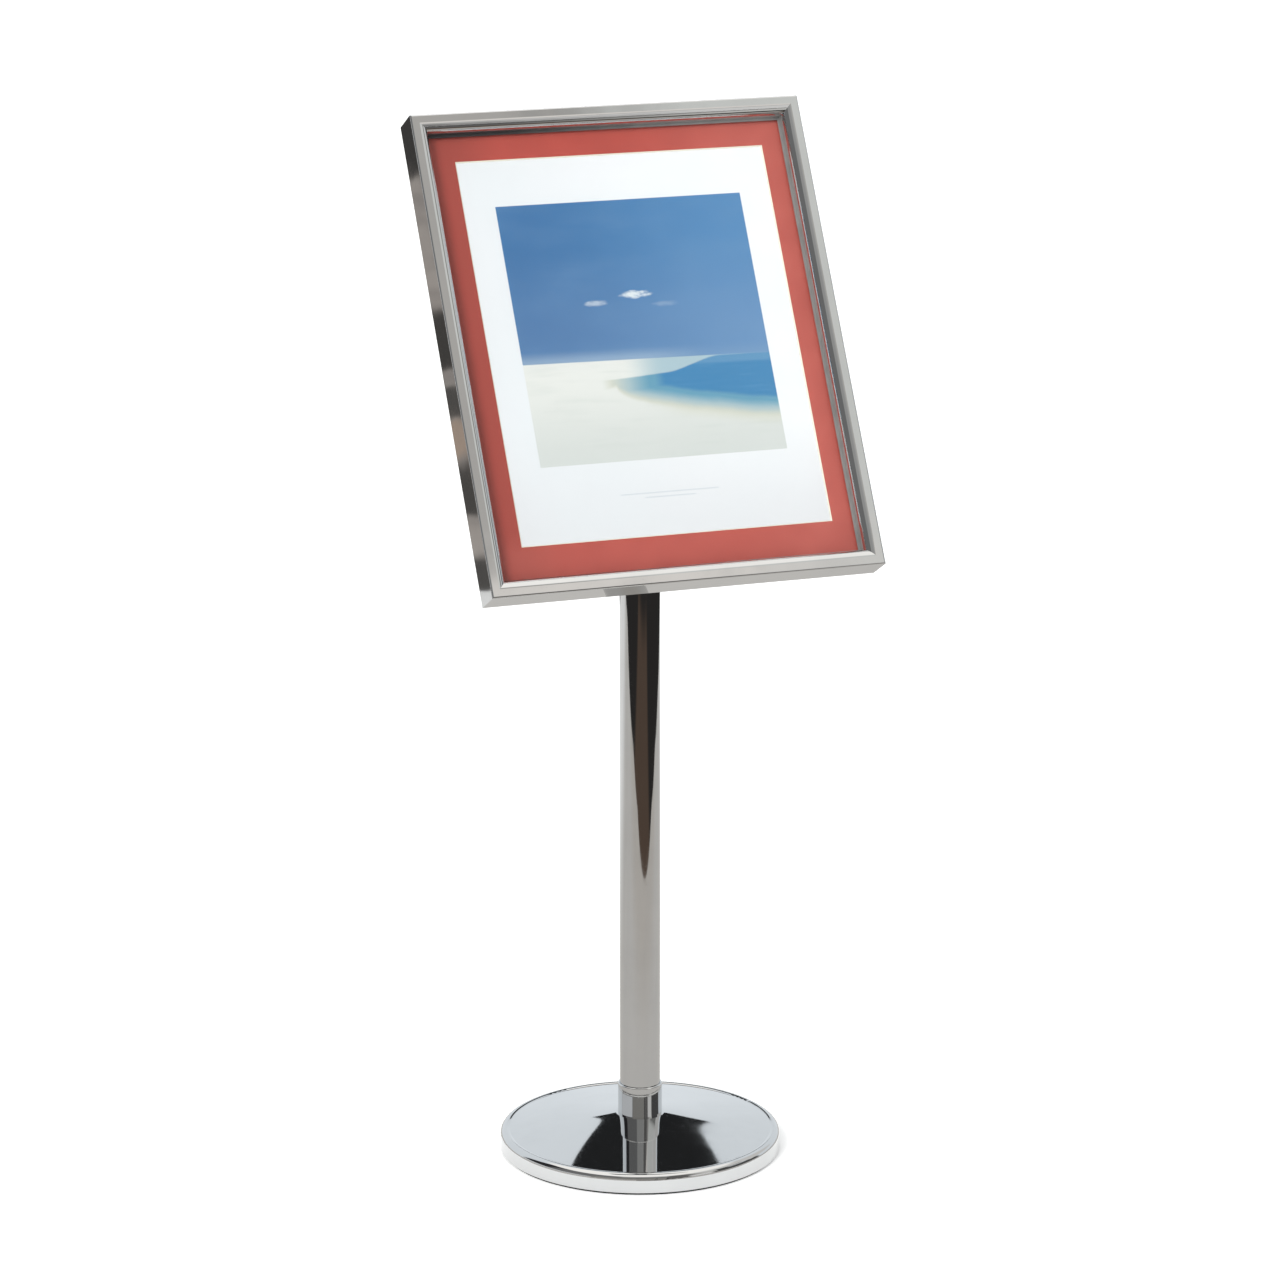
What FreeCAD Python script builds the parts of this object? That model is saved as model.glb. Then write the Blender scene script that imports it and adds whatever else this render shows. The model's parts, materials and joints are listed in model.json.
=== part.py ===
import FreeCAD, Part
import math
import os

import Sketcher
from FreeCAD import Placement, Rotation, Vector

# Pedestal sign stand. Floor at z = 0, post on the Z axis, poster facing -Y, sizes in millimetres.
# The frame and all that tilts with it are drawn upright about the pivot, at (0, 0, 0), and then
# leaned back and lifted to the pivot's height by one shared placement.

SIZES = {
    # base
    "base_radius": 177.8,
    "seat_height": 47,
    "seat_radius": 31,
    "cone_end_radius": 165.9,
    "cone_end_height": 26.5,
    "rim_height": 19.5,
    "rim_round": 8,
    "cover_wall": 1.2,
    "cover_clearance": 3.4,
    "pad_radius": 174,
    "pad_thick": 3,
    "weight_radius": 173,
    "weight_top": 18,
    "weight_chamfer": 2,
    "boss_radius": 29,
    "boss_foot_radius": 32,
    "web_radius": 60,
    "web_height": 32,
    "bolt_recess_radius": 17,
    "bolt_recess_top": 20,
    # base bolt, M12
    "base_bolt_radius": 6,
    "base_bolt_flats": 19,
    "base_bolt_head": 7.5,
    "base_bolt_top": 72,
    "base_bolt_play": 0.8,
    "base_washer_radius": 12,
    "base_washer_thick": 2.5,
    "lock_washer_radius": 10.5,
    "lock_washer_thick": 3,
    "split_wide": 2,
    "split_slant": 20,
    # shared by holes, washers and joined features
    "hole_clearance": 0.05,
    "washer_play": 0.2,
    "drill_reach": 12,
    "overlap": 1,
    # post
    "post_radius": 25.4,
    "post_wall": 1.5,
    "plug_length": 30,
    "plug_gap": 0.1,
    "plug_chamfer": 1,
    "plug_hole_top": 74,
    "collar_gap": 0.2,
    "collar_radius": 28,
    "collar_tall": 40,
    "collar_round": 1.5,
    "collar_screw_radius": 2.5,
    "collar_screw_length": 2.1,
    "collar_screw_rise": 14,
    "grub_radius": 3,
    "grub_length": 7.5,
    "grub_hole_depth": 8,
    "grub_sink": 0.2,
    # tilting head
    "pivot_height": 928,
    "head_drop": 44,
    "flange_thick": 5,
    "flange_round": 1.5,
    "spigot_length": 35,
    "spigot_chamfer": 1,
    "neck_foot_radius": 18,
    "neck_radius": 10,
    "neck_tall": 10,
    "tongue_thick": 14,
    "tongue_round": 16,
    "pivot_radius": 5,
    "ear_thick": 6,
    "ear_foot": 21,
    "friction_washer_thick": 1.5,
    "friction_washer_radius": 15,
    "running_gap": 0.05,
    "bracket_width": 84,
    "bracket_tall": 60,
    "bracket_round": 6,
    "plate_thick": 4,
    "bracket_bolt_x": 32,
    "bracket_bolt_z": 19,
    "bracket_bolt_radius": 3,
    "bracket_bolt_length": 14,
    "bracket_bolt_flats": 10,
    "bracket_bolt_head": 4,
    "bracket_bolt_play": 0.2,
    "bracket_nut_thick": 5,
    "pivot_bolt_flats": 16,
    "pivot_bolt_head": 6.4,
    "pivot_bolt_reach": 16,
    # clamp knob
    "knob_gap": 0.3,
    "knob_washer_thick": 2,
    "knob_washer_radius": 11,
    "knob_radius": 25,
    "knob_hub_radius": 13,
    "knob_hub_tall": 8,
    "knob_tall": 24,
    "knob_scallop_radius": 9,
    "knob_scallop_centre": 30,
    "knob_lobes": 6,
    "knob_round": 2,
    "insert_radius": 7,
    "insert_start": 0.1,
    "insert_end": 20,
    "cap_radius": 10.5,
    "cap_gap": 0.1,
    "cap_seat": 21,
    "cap_edge": 23.5,
    "cap_rise": 1.5,
    # frame
    "tilt_at_rest": 28.5,
    "frame_width": 508,
    "frame_height": 610,
    "frame_rise": 90.8,
    "frame_setback": 40,
    "rail_face": 21.5,
    "rail_depth": 44,
    "rail_wall": 1.5,
    "rail_inner_round": 11,
    "rail_outer_round": 2,
    "rail_back_round": 1.5,
    "lip_depth": 19,
    "lip_thick": 1.5,
    "lip_width": 3,
    "slot_end": 0.5,
    "key_gap": 0.25,
    "key_arm": 60,
    "key_depth": 33,
    "key_thick": 9,
    "key_screw_at": 42,
    "key_screw_radius": 2,
    "key_screw_length": 9,
    "key_screw_head_radius": 3.8,
    "key_screw_head": 2.2,
    # what the frame holds, each at its depth behind the frame's front
    "glazing_depth": 20.7,
    "glazing_thick": 2.5,
    "mat_depth": 23.5,
    "mat_thick": 1.5,
    "mat_bevel": 1.35,
    "poster_thick": 0.4,
    "board_thick": 4.8,
    "panel_depth": 30.8,
    "panel_thick": 1.5,
    "panel_gap": 0.3,
    "strip_size": 8,
    "strip_gap": 0.1,
    "rivet_radius": 1.6,
    "rivet_length": 11,
    "rivet_head_radius": 3.2,
    "rivet_head": 1,
    "rivet_step_across": 160,
    "rivet_step_up": 210,
    "side_gap": 0.75,
    "insert_floor_gap": 0.2,
    "insert_proud": 3,
    "mat_left": 35,
    "mat_right": 29.5,
    "mat_top": 35,
    "mat_bottom": 45,
    "poster_overlap": 13,
    # bar across the back of the frame
    "bar_tall": 50,
    "bar_thick": 4,
    "bar_inset": 2,
    "bar_round": 3,
    "bar_screw_z": 14,
    "bar_screw_radius": 2.5,
    "bar_screw_length": 9,
    "bar_screw_head_radius": 4.8,
    "bar_screw_head": 3,
    "screw_play": 0.1,
}

doc = FreeCAD.newDocument("sign_stand")
sheet = doc.addObject("Spreadsheet::Sheet", "Dims")
for row, (alias, size) in enumerate(SIZES.items(), start=1):
    sheet.set(f"A{row}", alias)
    sheet.set(f"B{row}", str(size))
    sheet.setAlias(f"B{row}", alias)
doc.recompute()

FULL_TURN = 360
# how close two sizes have to be to count as the same
TOLERANCE = 0.01
# how far up its head or along its stud a hexagon socket starts
SOCKET_IN_HEAD = 0.4
SOCKET_IN_STUD = 0.45
# angles round the post from +X, the back being at 90
HEAD_SCREW_ANGLES = (60, 120)
COLLAR_SCREW_ANGLE = 90

nodes = []


def value(expression):
    """The number that an expression over the sheet gives."""
    return float(sheet.evalExpression(str(expression)))


def node(thing, label, placement=None):
    """Registers a finished sub-part under its name, and puts it in its place."""
    thing.Label = label
    if placement is not None:
        thing.Placement = placement
    nodes.append(thing)
    return thing


# ------------------------------------------------------------------ places

UPRIGHT = Placement()
PIVOT = Placement(
    Vector(0, 0, value("Dims.pivot_height")),
    Rotation(Vector(1, 0, 0), -value("Dims.tilt_at_rest")),
)
FACING_UP = Rotation()
FACING_BACK = Rotation(Vector(1, 0, 0), -90)
FACING_LEFT = Rotation(Vector(0, 1, 0), -90)
FACING_RIGHT = Rotation(Vector(0, 1, 0), 90)
FACING_DOWN = Rotation(Vector(1, 0, 0), 180)

BACK_PLANE = "-Dims.frame_setback"
HALF_OPENING = "(Dims.frame_width / 2 - Dims.rail_face)"
HALF_OPENING_TALL = "(Dims.frame_height / 2 - Dims.rail_face)"
OPENING_BOTTOM = f"(Dims.frame_rise - {HALF_OPENING_TALL})"
OPENING_TOP = f"(Dims.frame_rise + {HALF_OPENING_TALL})"
POST_TOP = "(Dims.pivot_height - Dims.head_drop - Dims.flange_thick)"


def at_depth(depth):
    """The frame's local y at a depth behind its front face."""
    return f"(-Dims.frame_setback - Dims.rail_depth + {depth})"


def at(x, y, z, facing=FACING_UP):
    return Placement(Vector(value(x), value(y), value(z)), facing)


def around_post(angle, radius, height):
    """A place on the post, facing straight out, at an angle from +X."""
    turn = Rotation(Vector(0, 0, 1), angle)
    return Placement(turn.multVec(Vector(radius, 0, height)), turn.multiply(FACING_RIGHT))


# ------------------------------------------------------------------ sketches and features


def new_body(label):
    body = doc.addObject("PartDesign::Body", label)
    body.Label = label
    return body


def new_sketch(body, plane, offset="0"):
    sketch = body.newObject("Sketcher::SketchObject", body.Name + "_sketch")
    origin_plane = next(part for part in body.Origin.OriginFeatures if part.Role == plane)
    sketch.AttachmentSupport = (origin_plane, "")
    sketch.MapMode = "FlatFace"
    sketch.setExpression("AttachmentOffset.Base.z", offset)
    return sketch


def pin_point(sketch, item, end, x, y):
    """Ties one point of a sketch to two expressions, measured from the sketch's origin."""
    for kind, expression in (("DistanceX", x), ("DistanceY", y)):
        constraint = Sketcher.Constraint(kind, item, end, value(expression))
        number = sketch.addConstraint(constraint)
        sketch.setExpression(f"Constraints[{number}]", str(expression))


def bind_radius(sketch, item, radius):
    number = sketch.addConstraint(Sketcher.Constraint("Radius", item, value(radius)))
    sketch.setExpression(f"Constraints[{number}]", str(radius))


def arc_between(start, end, radius, turns_left):
    """The shorter arc of a radius from start to end, with its centre left or right of the way."""
    way = end - start
    left = Vector(-way.y, way.x, 0).normalize()
    rise = math.sqrt(max(radius**2 - (way.Length / 2) ** 2, 0))
    centre = start + way / 2 + left * (rise if turns_left else -rise)
    first, last = (start, end) if turns_left else (end, start)
    angles = [math.atan2(point.y - centre.y, point.x - centre.x) for point in (first, last)]
    return Part.ArcOfCircle(Part.Circle(centre, Vector(0, 0, 1), radius), *angles)


def draw_outline(sketch, corners):
    """A closed outline. A corner is (x, y), or (x, y, radius, turns_left) where an arc follows it."""
    points = [Vector(value(corner[0]), value(corner[1]), 0) for corner in corners]
    first_item = sketch.GeometryCount
    ends = []
    for index, corner in enumerate(corners):
        start, end = points[index], points[(index + 1) % len(points)]
        if len(corner) == 2:
            item = sketch.addGeometry(Part.LineSegment(start, end))
            ends.append((1, 2))
        else:
            radius, turns_left = corner[2:]
            item = sketch.addGeometry(arc_between(start, end, value(radius), turns_left))
            bind_radius(sketch, item, radius)
            ends.append((1, 2) if turns_left else (2, 1))
    for index, corner in enumerate(corners):
        following = (index + 1) % len(corners)
        sketch.addConstraint(
            Sketcher.Constraint(
                "Coincident",
                first_item + index,
                ends[index][1],
                first_item + following,
                ends[following][0],
            )
        )
        pin_point(sketch, first_item + index, ends[index][0], corner[0], corner[1])


def draw_box(sketch, low_x, high_x, low_y, high_y):
    draw_outline(sketch, [(low_x, low_y), (high_x, low_y), (high_x, high_y), (low_x, high_y)])


def draw_circle(sketch, x, y, radius):
    centre = Vector(value(x), value(y), 0)
    item = sketch.addGeometry(Part.Circle(centre, Vector(0, 0, 1), value(radius)))
    bind_radius(sketch, item, radius)
    pin_point(sketch, item, 3, x, y)


def pad(body, sketch, length, backwards=False, both_ways=False):
    feature = body.newObject("PartDesign::Pad", body.Name + "_pad")
    feature.Profile = sketch
    feature.setExpression("Length", length)
    feature.Reversed = backwards
    feature.Midplane = both_ways
    return feature


def cut_through(body, sketch):
    """Cuts the outline right through the body, both ways."""
    feature = body.newObject("PartDesign::Pocket", body.Name + "_cut")
    feature.Profile = sketch
    feature.Type = "ThroughAll"
    feature.Midplane = True
    return feature


def soften(body, kind, size_name, size, wanted):
    """Rounds or chamfers the edges of the body's last feature that pass the test."""
    doc.recompute()
    feature = body.Tip
    names = [f"Edge{i}" for i, edge in enumerate(feature.Shape.Edges, start=1) if wanted(edge)]
    softened = body.newObject(f"PartDesign::{kind}", body.Name + "_" + kind.lower())
    softened.Base = (feature, names)
    softened.setExpression(size_name, size)
    return softened


def edge_runs(edge, axis):
    """Whether an edge is straight and runs along one axis of its body."""
    if len(edge.Vertexes) != 2:
        return False
    way = edge.Vertexes[1].Point - edge.Vertexes[0].Point
    return abs(abs(getattr(way, axis)) - way.Length) < TOLERANCE


def turned(label, corners):
    """A body turned about its own Z axis from a half section given as (radius, height)."""
    body = new_body(label)
    sketch = new_sketch(body, "XZ_Plane")
    draw_outline(sketch, corners)
    feature = body.newObject("PartDesign::Revolution", label + "_turning")
    feature.Profile = sketch
    feature.ReferenceAxis = (sketch, ["V_Axis"])
    feature.Angle = FULL_TURN
    return body


def flat_sheet(label, low_x, high_x, low_z, high_z, depth, thick):
    """A rectangular sheet parallel to the frame's front, its front face at a depth behind it."""
    body = new_body(label)
    sketch = new_sketch(body, "XZ_Plane", f"-{at_depth(depth)}")
    draw_box(sketch, low_x, high_x, low_z, high_z)
    pad(body, sketch, thick, backwards=True)
    return body


# ------------------------------------------------------------------ primitives, holes and fasteners


def cylinder(label, radius, length, placement=UPRIGHT):
    """A round bar that runs from its place the way that it faces."""
    bar = doc.addObject("Part::Cylinder", label)
    bar.setExpression("Radius", str(radius))
    bar.setExpression("Height", str(length))
    bar.Placement = placement
    return bar


def hexagon(label, across_flats, length, placement=UPRIGHT):
    prism = doc.addObject("Part::Prism", label)
    prism.Polygon = 6
    prism.setExpression("Circumradius", f"({across_flats}) / 2 / cos(30 deg)")
    prism.setExpression("Height", str(length))
    prism.Placement = placement
    return prism


def difference(label, base, tool, placement=UPRIGHT):
    result = doc.addObject("Part::Cut", label)
    result.Base = base
    result.Tool = tool
    result.Placement = placement
    return result


def union(label, first, second, placement=UPRIGHT):
    result = doc.addObject("Part::Fuse", label)
    result.Base = first
    result.Tool = second
    result.Placement = placement
    return result


def group(label, members, placement=UPRIGHT):
    """Separate solids that share one node."""
    result = doc.addObject("Part::Compound", label)
    result.Links = members
    result.Placement = placement
    return result


def drilled(label, blank, radius, places, reach="Dims.drill_reach"):
    """The blank with round holes centred on the places, as far to each side as reach."""
    blank.Label = label + "_blank"
    drills = []
    for number, place in enumerate(places):
        start = place.multiply(at(0, 0, f"-{reach}"))
        drills.append(cylinder(f"{label}_drill_{number}", radius, f"2 * {reach}", start))
    return difference(label, blank, group(label + "_drills", drills))


def shank(label, radius, length):
    """The part of a fastener that goes in, behind the face that its head rests on."""
    return cylinder(label + "_shank", radius, length, at(0, 0, f"-({length})"))


def socket_screw(label, radius, length, head_radius, head_tall, place):
    """Round head outside the place, shank inside it, hexagon socket in the head."""
    head = cylinder(label + "_head", head_radius, head_tall)
    socket_floor = at(0, 0, f"{SOCKET_IN_HEAD} * ({head_tall})")
    socket = hexagon(label + "_socket", radius, head_tall, socket_floor)
    whole = union(label + "_whole", shank(label, radius, length), head)
    return difference(label, whole, socket, place)


def hex_bolt(label, radius, length, across_flats, head_tall, place):
    head = hexagon(label + "_head", across_flats, head_tall)
    return union(label, shank(label, radius, length), head, place)


def grub_screw(label, radius, length, place):
    """A headless screw whose outer end lies at the place, with a hexagon socket there."""
    socket_floor = at(0, 0, f"-{SOCKET_IN_STUD} * ({length})")
    socket = hexagon(label + "_socket", radius, length, socket_floor)
    return difference(label, shank(label, radius, length), socket, place)


def rivet(label, radius, length, head_radius, head_tall, place):
    head = cylinder(label + "_head", head_radius, head_tall)
    return union(label, shank(label, radius, length), head, place)


# ------------------------------------------------------------------ base

BASE_BOLT_HOLE = "Dims.base_bolt_radius + Dims.base_bolt_play"


def make_floor_pad():
    corners = [("0", "0"), ("Dims.pad_radius", "0")]
    corners += [("Dims.pad_radius", "Dims.pad_thick"), ("0", "Dims.pad_thick")]
    node(turned("floor_pad", corners), "floor_pad")


def make_base_weight():
    """Cast disc with a conical web, a boss for the post and a recess for the bolt head."""
    corners = [
        ("Dims.bolt_recess_radius", "Dims.pad_thick"),
        ("Dims.weight_radius", "Dims.pad_thick"),
        ("Dims.weight_radius", "Dims.weight_top - Dims.weight_chamfer"),
        ("Dims.weight_radius - Dims.weight_chamfer", "Dims.weight_top"),
        ("Dims.web_radius", "Dims.weight_top"),
        ("Dims.boss_foot_radius", "Dims.web_height"),
        ("Dims.boss_radius", "Dims.seat_height - Dims.cover_wall"),
        (BASE_BOLT_HOLE, "Dims.seat_height - Dims.cover_wall"),
        (BASE_BOLT_HOLE, "Dims.bolt_recess_top"),
        ("Dims.bolt_recess_radius", "Dims.bolt_recess_top"),
    ]
    node(turned("base_weight", corners), "base_weight")


def make_base_cover():
    """Spun shell: flat seat, shallow cone, and a rim that rolls over and runs down to the floor."""
    rim_centre = "(Dims.base_radius - Dims.rim_round)"
    inner_round = "(Dims.rim_round - Dims.cover_wall)"
    shrink = f"({inner_round} / Dims.rim_round)"
    inner_end_radius = f"{rim_centre} + (Dims.cone_end_radius - {rim_centre}) * {shrink}"
    inner_end_height = (
        f"Dims.rim_height + (Dims.cone_end_height - Dims.rim_height) * {shrink}"
    )
    corners = [
        (BASE_BOLT_HOLE, "Dims.seat_height"),
        ("Dims.seat_radius", "Dims.seat_height"),
        ("Dims.cone_end_radius", "Dims.cone_end_height", "Dims.rim_round", False),
        ("Dims.base_radius", "Dims.rim_height"),
        ("Dims.base_radius", "Dims.cover_clearance"),
        ("Dims.base_radius - Dims.cover_wall", "Dims.cover_clearance"),
        ("Dims.base_radius - Dims.cover_wall", "Dims.rim_height", inner_round, True),
        (inner_end_radius, inner_end_height),
        ("Dims.seat_radius", "Dims.seat_height - Dims.cover_wall"),
        (BASE_BOLT_HOLE, "Dims.seat_height - Dims.cover_wall"),
    ]
    node(turned("base_cover", corners), "base_cover")


def make_base_fasteners():
    """Hex bolt from below, with a plain washer and a split spring washer under its head."""
    bore = "Dims.base_bolt_radius + Dims.washer_play"
    washer_low = "(Dims.bolt_recess_top - Dims.base_washer_thick)"
    lock_low = f"({washer_low} - Dims.lock_washer_thick)"
    washer = turned(
        "base_washer",
        [
            (bore, washer_low),
            ("Dims.base_washer_radius", washer_low),
            ("Dims.base_washer_radius", "Dims.bolt_recess_top"),
            (bore, "Dims.bolt_recess_top"),
        ],
    )
    node(washer, "base_washer")
    ring = turned(
        "base_lock_washer_ring",
        [
            (bore, lock_low),
            ("Dims.lock_washer_radius", lock_low),
            ("Dims.lock_washer_radius", washer_low),
            (bore, washer_low),
        ],
    )
    split = doc.addObject("Part::Box", "base_lock_washer_split")
    split.setExpression("Width", "Dims.split_wide")
    split.setExpression("Length", "Dims.lock_washer_radius + Dims.overlap")
    split.setExpression("Height", "Dims.lock_washer_thick + 2 * Dims.overlap")
    slant = Rotation(Vector(1, 0, 0), value("Dims.split_slant"))
    split.Placement = at(0, "-Dims.split_wide / 2", f"{lock_low} - Dims.overlap", slant)
    node(difference("base_lock_washer", ring, split), "base_lock_washer")
    bolt = hex_bolt(
        "base_bolt",
        "Dims.base_bolt_radius",
        f"Dims.base_bolt_top - {lock_low}",
        "Dims.base_bolt_flats",
        "Dims.base_bolt_head",
        at(0, 0, lock_low, FACING_DOWN),
    )
    node(bolt, "base_bolt")


def make_collar():
    """Polished ring round the foot of the post, held by a grub screw at the back."""
    bore = "Dims.post_radius + Dims.collar_gap"
    top = "(Dims.seat_height + Dims.collar_tall)"
    ring = turned(
        "post_collar_ring",
        [
            (bore, "Dims.seat_height"),
            ("Dims.collar_radius", "Dims.seat_height"),
            ("Dims.collar_radius", f"{top} - Dims.collar_round", "Dims.collar_round", True),
            ("Dims.collar_radius - Dims.collar_round", top),
            (bore, top),
        ],
    )
    height = value("Dims.seat_height + Dims.collar_screw_rise")
    radius = value("Dims.collar_radius - Dims.grub_sink")
    place = around_post(COLLAR_SCREW_ANGLE, radius, height)
    hole_radius = "Dims.collar_screw_radius + Dims.hole_clearance"
    node(drilled("post_collar", ring, hole_radius, [place]), "post_collar")
    screw = grub_screw(
        "collar_screw", "Dims.collar_screw_radius", "Dims.collar_screw_length", place
    )
    node(screw, "collar_screw")


# ------------------------------------------------------------------ post and tilting head


def head_screw_places():
    height = value(f"{POST_TOP} - Dims.spigot_length / 2")
    radius = value("Dims.post_radius - Dims.grub_sink")
    return [around_post(angle, radius, height) for angle in HEAD_SCREW_ANGLES]


def make_post():
    bore = "Dims.post_radius - Dims.post_wall"
    tube = turned(
        "post_tube_blank",
        [
            (bore, "Dims.seat_height"),
            ("Dims.post_radius", "Dims.seat_height"),
            ("Dims.post_radius", POST_TOP),
            (bore, POST_TOP),
        ],
    )
    hole_radius = "Dims.grub_radius + Dims.hole_clearance"
    node(drilled("post_tube", tube, hole_radius, head_screw_places()), "post_tube")

    outer = f"{bore} - Dims.plug_gap"
    thread = "Dims.base_bolt_radius + Dims.hole_clearance"
    top = "Dims.seat_height + Dims.plug_length"
    plug = turned(
        "foot_plug",
        [
            (thread, "Dims.seat_height"),
            (outer, "Dims.seat_height"),
            (outer, f"{top} - Dims.plug_chamfer"),
            (f"{outer} - Dims.plug_chamfer", top),
            ("0", top),
            ("0", "Dims.plug_hole_top"),
            (thread, "Dims.plug_hole_top"),
        ],
    )
    node(plug, "foot_plug")


def make_tilt_head():
    """Spigot inside the tube, flange on its end, and an upright tongue with the pivot bore."""
    body = new_body("tilt_head_blank")
    spigot = "Dims.post_radius - Dims.post_wall - Dims.plug_gap"
    flange_top = f"({POST_TOP} + Dims.flange_thick)"
    flange_round = "Dims.flange_round"
    sketch = new_sketch(body, "XZ_Plane")
    draw_outline(
        sketch,
        [
            ("0", f"{POST_TOP} - Dims.spigot_length"),
            (f"{spigot} - Dims.spigot_chamfer", f"{POST_TOP} - Dims.spigot_length"),
            (spigot, f"{POST_TOP} - Dims.spigot_length + Dims.spigot_chamfer"),
            (spigot, POST_TOP),
            ("Dims.post_radius", POST_TOP),
            ("Dims.post_radius", f"{flange_top} - {flange_round}", flange_round, True),
            (f"Dims.post_radius - {flange_round}", flange_top),
            ("Dims.neck_foot_radius", flange_top),
            ("Dims.neck_radius", f"{flange_top} + Dims.neck_tall"),
            ("0", f"{flange_top} + Dims.neck_tall"),
        ],
    )
    turning = body.newObject("PartDesign::Revolution", "tilt_head_turning")
    turning.Profile = sketch
    turning.ReferenceAxis = (sketch, ["V_Axis"])
    turning.Angle = FULL_TURN
    blade = new_sketch(body, "YZ_Plane")
    low = f"{flange_top} - Dims.overlap"
    draw_box(blade, "-Dims.tongue_round", "Dims.tongue_round", low, "Dims.pivot_height")
    pad(body, blade, "Dims.tongue_thick", both_ways=True)
    knuckle = new_sketch(body, "YZ_Plane")
    draw_circle(knuckle, "0", "Dims.pivot_height", "Dims.tongue_round")
    pad(body, knuckle, "Dims.tongue_thick", both_ways=True)
    bore = new_sketch(body, "YZ_Plane")
    draw_circle(bore, "0", "Dims.pivot_height", "Dims.pivot_radius + Dims.hole_clearance")
    cut_through(body, bore)

    places = head_screw_places()
    hole_radius = "Dims.grub_radius + Dims.hole_clearance"
    blank = drilled("tilt_head", body, hole_radius, places, reach="Dims.grub_hole_depth")
    node(blank, "tilt_head")
    screws = [
        grub_screw(f"head_screw_{number}", "Dims.grub_radius", "Dims.grub_length", place)
        for number, place in enumerate(places)
    ]
    node(group("head_screws", screws), "head_screws")


# ------------------------------------------------------------------ fork, pivot and clamp

EAR_INSIDE = "(Dims.tongue_thick / 2 + Dims.friction_washer_thick + 2 * Dims.running_gap)"
EAR_OUTSIDE = f"({EAR_INSIDE} + Dims.ear_thick)"
BAR_BACK = f"({BACK_PLANE} + Dims.bar_thick)"
PLATE_BACK = f"({BAR_BACK} + Dims.plate_thick)"
BRACKET_BOLT_HOLE = "Dims.bracket_bolt_radius + Dims.bracket_bolt_play"


def bracket_bolt_places():
    return [
        at(f"{side} * Dims.bracket_bolt_x", PLATE_BACK, f"{end} * Dims.bracket_bolt_z", FACING_BACK)
        for side in (-1, 1)
        for end in (-1, 1)
    ]


def make_pivot_bracket():
    """Fork of two ears on a plate, which four bolts hold to the cross bar."""
    body = new_body("pivot_bracket_blank")
    plate = new_sketch(body, "XZ_Plane", f"-({BAR_BACK})")
    half_wide, half_tall = "Dims.bracket_width / 2", "Dims.bracket_tall / 2"
    draw_box(plate, f"-{half_wide}", half_wide, f"-{half_tall}", half_tall)
    pad(body, plate, "Dims.plate_thick", backwards=True)
    soften(body, "Fillet", "Radius", "Dims.bracket_round", lambda edge: edge_runs(edge, "y"))
    for start in (EAR_INSIDE, f"-{EAR_OUTSIDE}"):
        web = new_sketch(body, "YZ_Plane", start)
        foot = f"{PLATE_BACK} - Dims.overlap"
        draw_outline(
            web,
            [
                (foot, "-Dims.ear_foot"),
                ("0", "-Dims.tongue_round"),
                ("0", "Dims.tongue_round"),
                (foot, "Dims.ear_foot"),
            ],
        )
        pad(body, web, "Dims.ear_thick")
        knuckle = new_sketch(body, "YZ_Plane", start)
        draw_circle(knuckle, "0", "0", "Dims.tongue_round")
        pad(body, knuckle, "Dims.ear_thick")
    bore = new_sketch(body, "YZ_Plane")
    draw_circle(bore, "0", "0", "Dims.pivot_radius + Dims.hole_clearance")
    cut_through(body, bore)
    blank = drilled("pivot_bracket", body, BRACKET_BOLT_HOLE, bracket_bolt_places())
    node(blank, "pivot_bracket", PIVOT)


def make_bracket_bolts():
    """Four bolts through the bracket and the cross bar, each with a nut in front of the bar."""
    bolts, nuts = [], []
    flats, thick = "Dims.bracket_bolt_flats", "Dims.bracket_nut_thick"
    thread = "Dims.bracket_bolt_radius + Dims.hole_clearance"
    for number, place in enumerate(bracket_bolt_places()):
        bolts.append(
            hex_bolt(
                f"bracket_bolt_{number}",
                "Dims.bracket_bolt_radius",
                "Dims.bracket_bolt_length",
                flats,
                "Dims.bracket_bolt_head",
                place,
            )
        )
        nut = f"bracket_nut_{number}"
        seat = Placement(Vector(place.Base.x, value(BACK_PLANE), place.Base.z), place.Rotation)
        block = hexagon(nut + "_block", flats, thick, at(0, 0, f"-{thick}"))
        hole = cylinder(nut + "_hole", thread, f"3 * {thick}", at(0, 0, f"-2 * {thick}"))
        nuts.append(difference(nut, block, hole, seat))
    node(group("bracket_bolts", bolts), "bracket_bolts", PIVOT)
    node(group("bracket_nuts", nuts), "bracket_nuts", PIVOT)


def disc_on_pivot(label, inner, outer, start, thick):
    """A washer on the pivot, from start to start + thick along X."""
    body = turned(label, [(inner, "0"), (outer, "0"), (outer, thick), (inner, thick)])
    node(body, label, PIVOT.multiply(at(start, "0", "0", FACING_RIGHT)))


def make_pivot_hardware():
    bore = "Dims.pivot_radius + Dims.washer_play"
    thick = "Dims.friction_washer_thick"
    wide = "Dims.friction_washer_radius"
    inside = "Dims.tongue_thick / 2 + Dims.running_gap"
    disc_on_pivot("friction_washer_right", bore, wide, inside, thick)
    disc_on_pivot("friction_washer_left", bore, wide, f"-({inside}) - {thick}", thick)
    knob_wide = "Dims.knob_washer_radius"
    disc_on_pivot("knob_washer", bore, knob_wide, EAR_OUTSIDE, "Dims.knob_washer_thick")
    bolt = hex_bolt(
        "pivot_bolt",
        "Dims.pivot_radius",
        f"2 * {EAR_OUTSIDE} + Dims.knob_washer_thick + Dims.pivot_bolt_reach",
        "Dims.pivot_bolt_flats",
        "Dims.pivot_bolt_head",
        PIVOT.multiply(at(f"-{EAR_OUTSIDE}", "0", "0", FACING_LEFT)),
    )
    node(bolt, "pivot_bolt")


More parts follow.
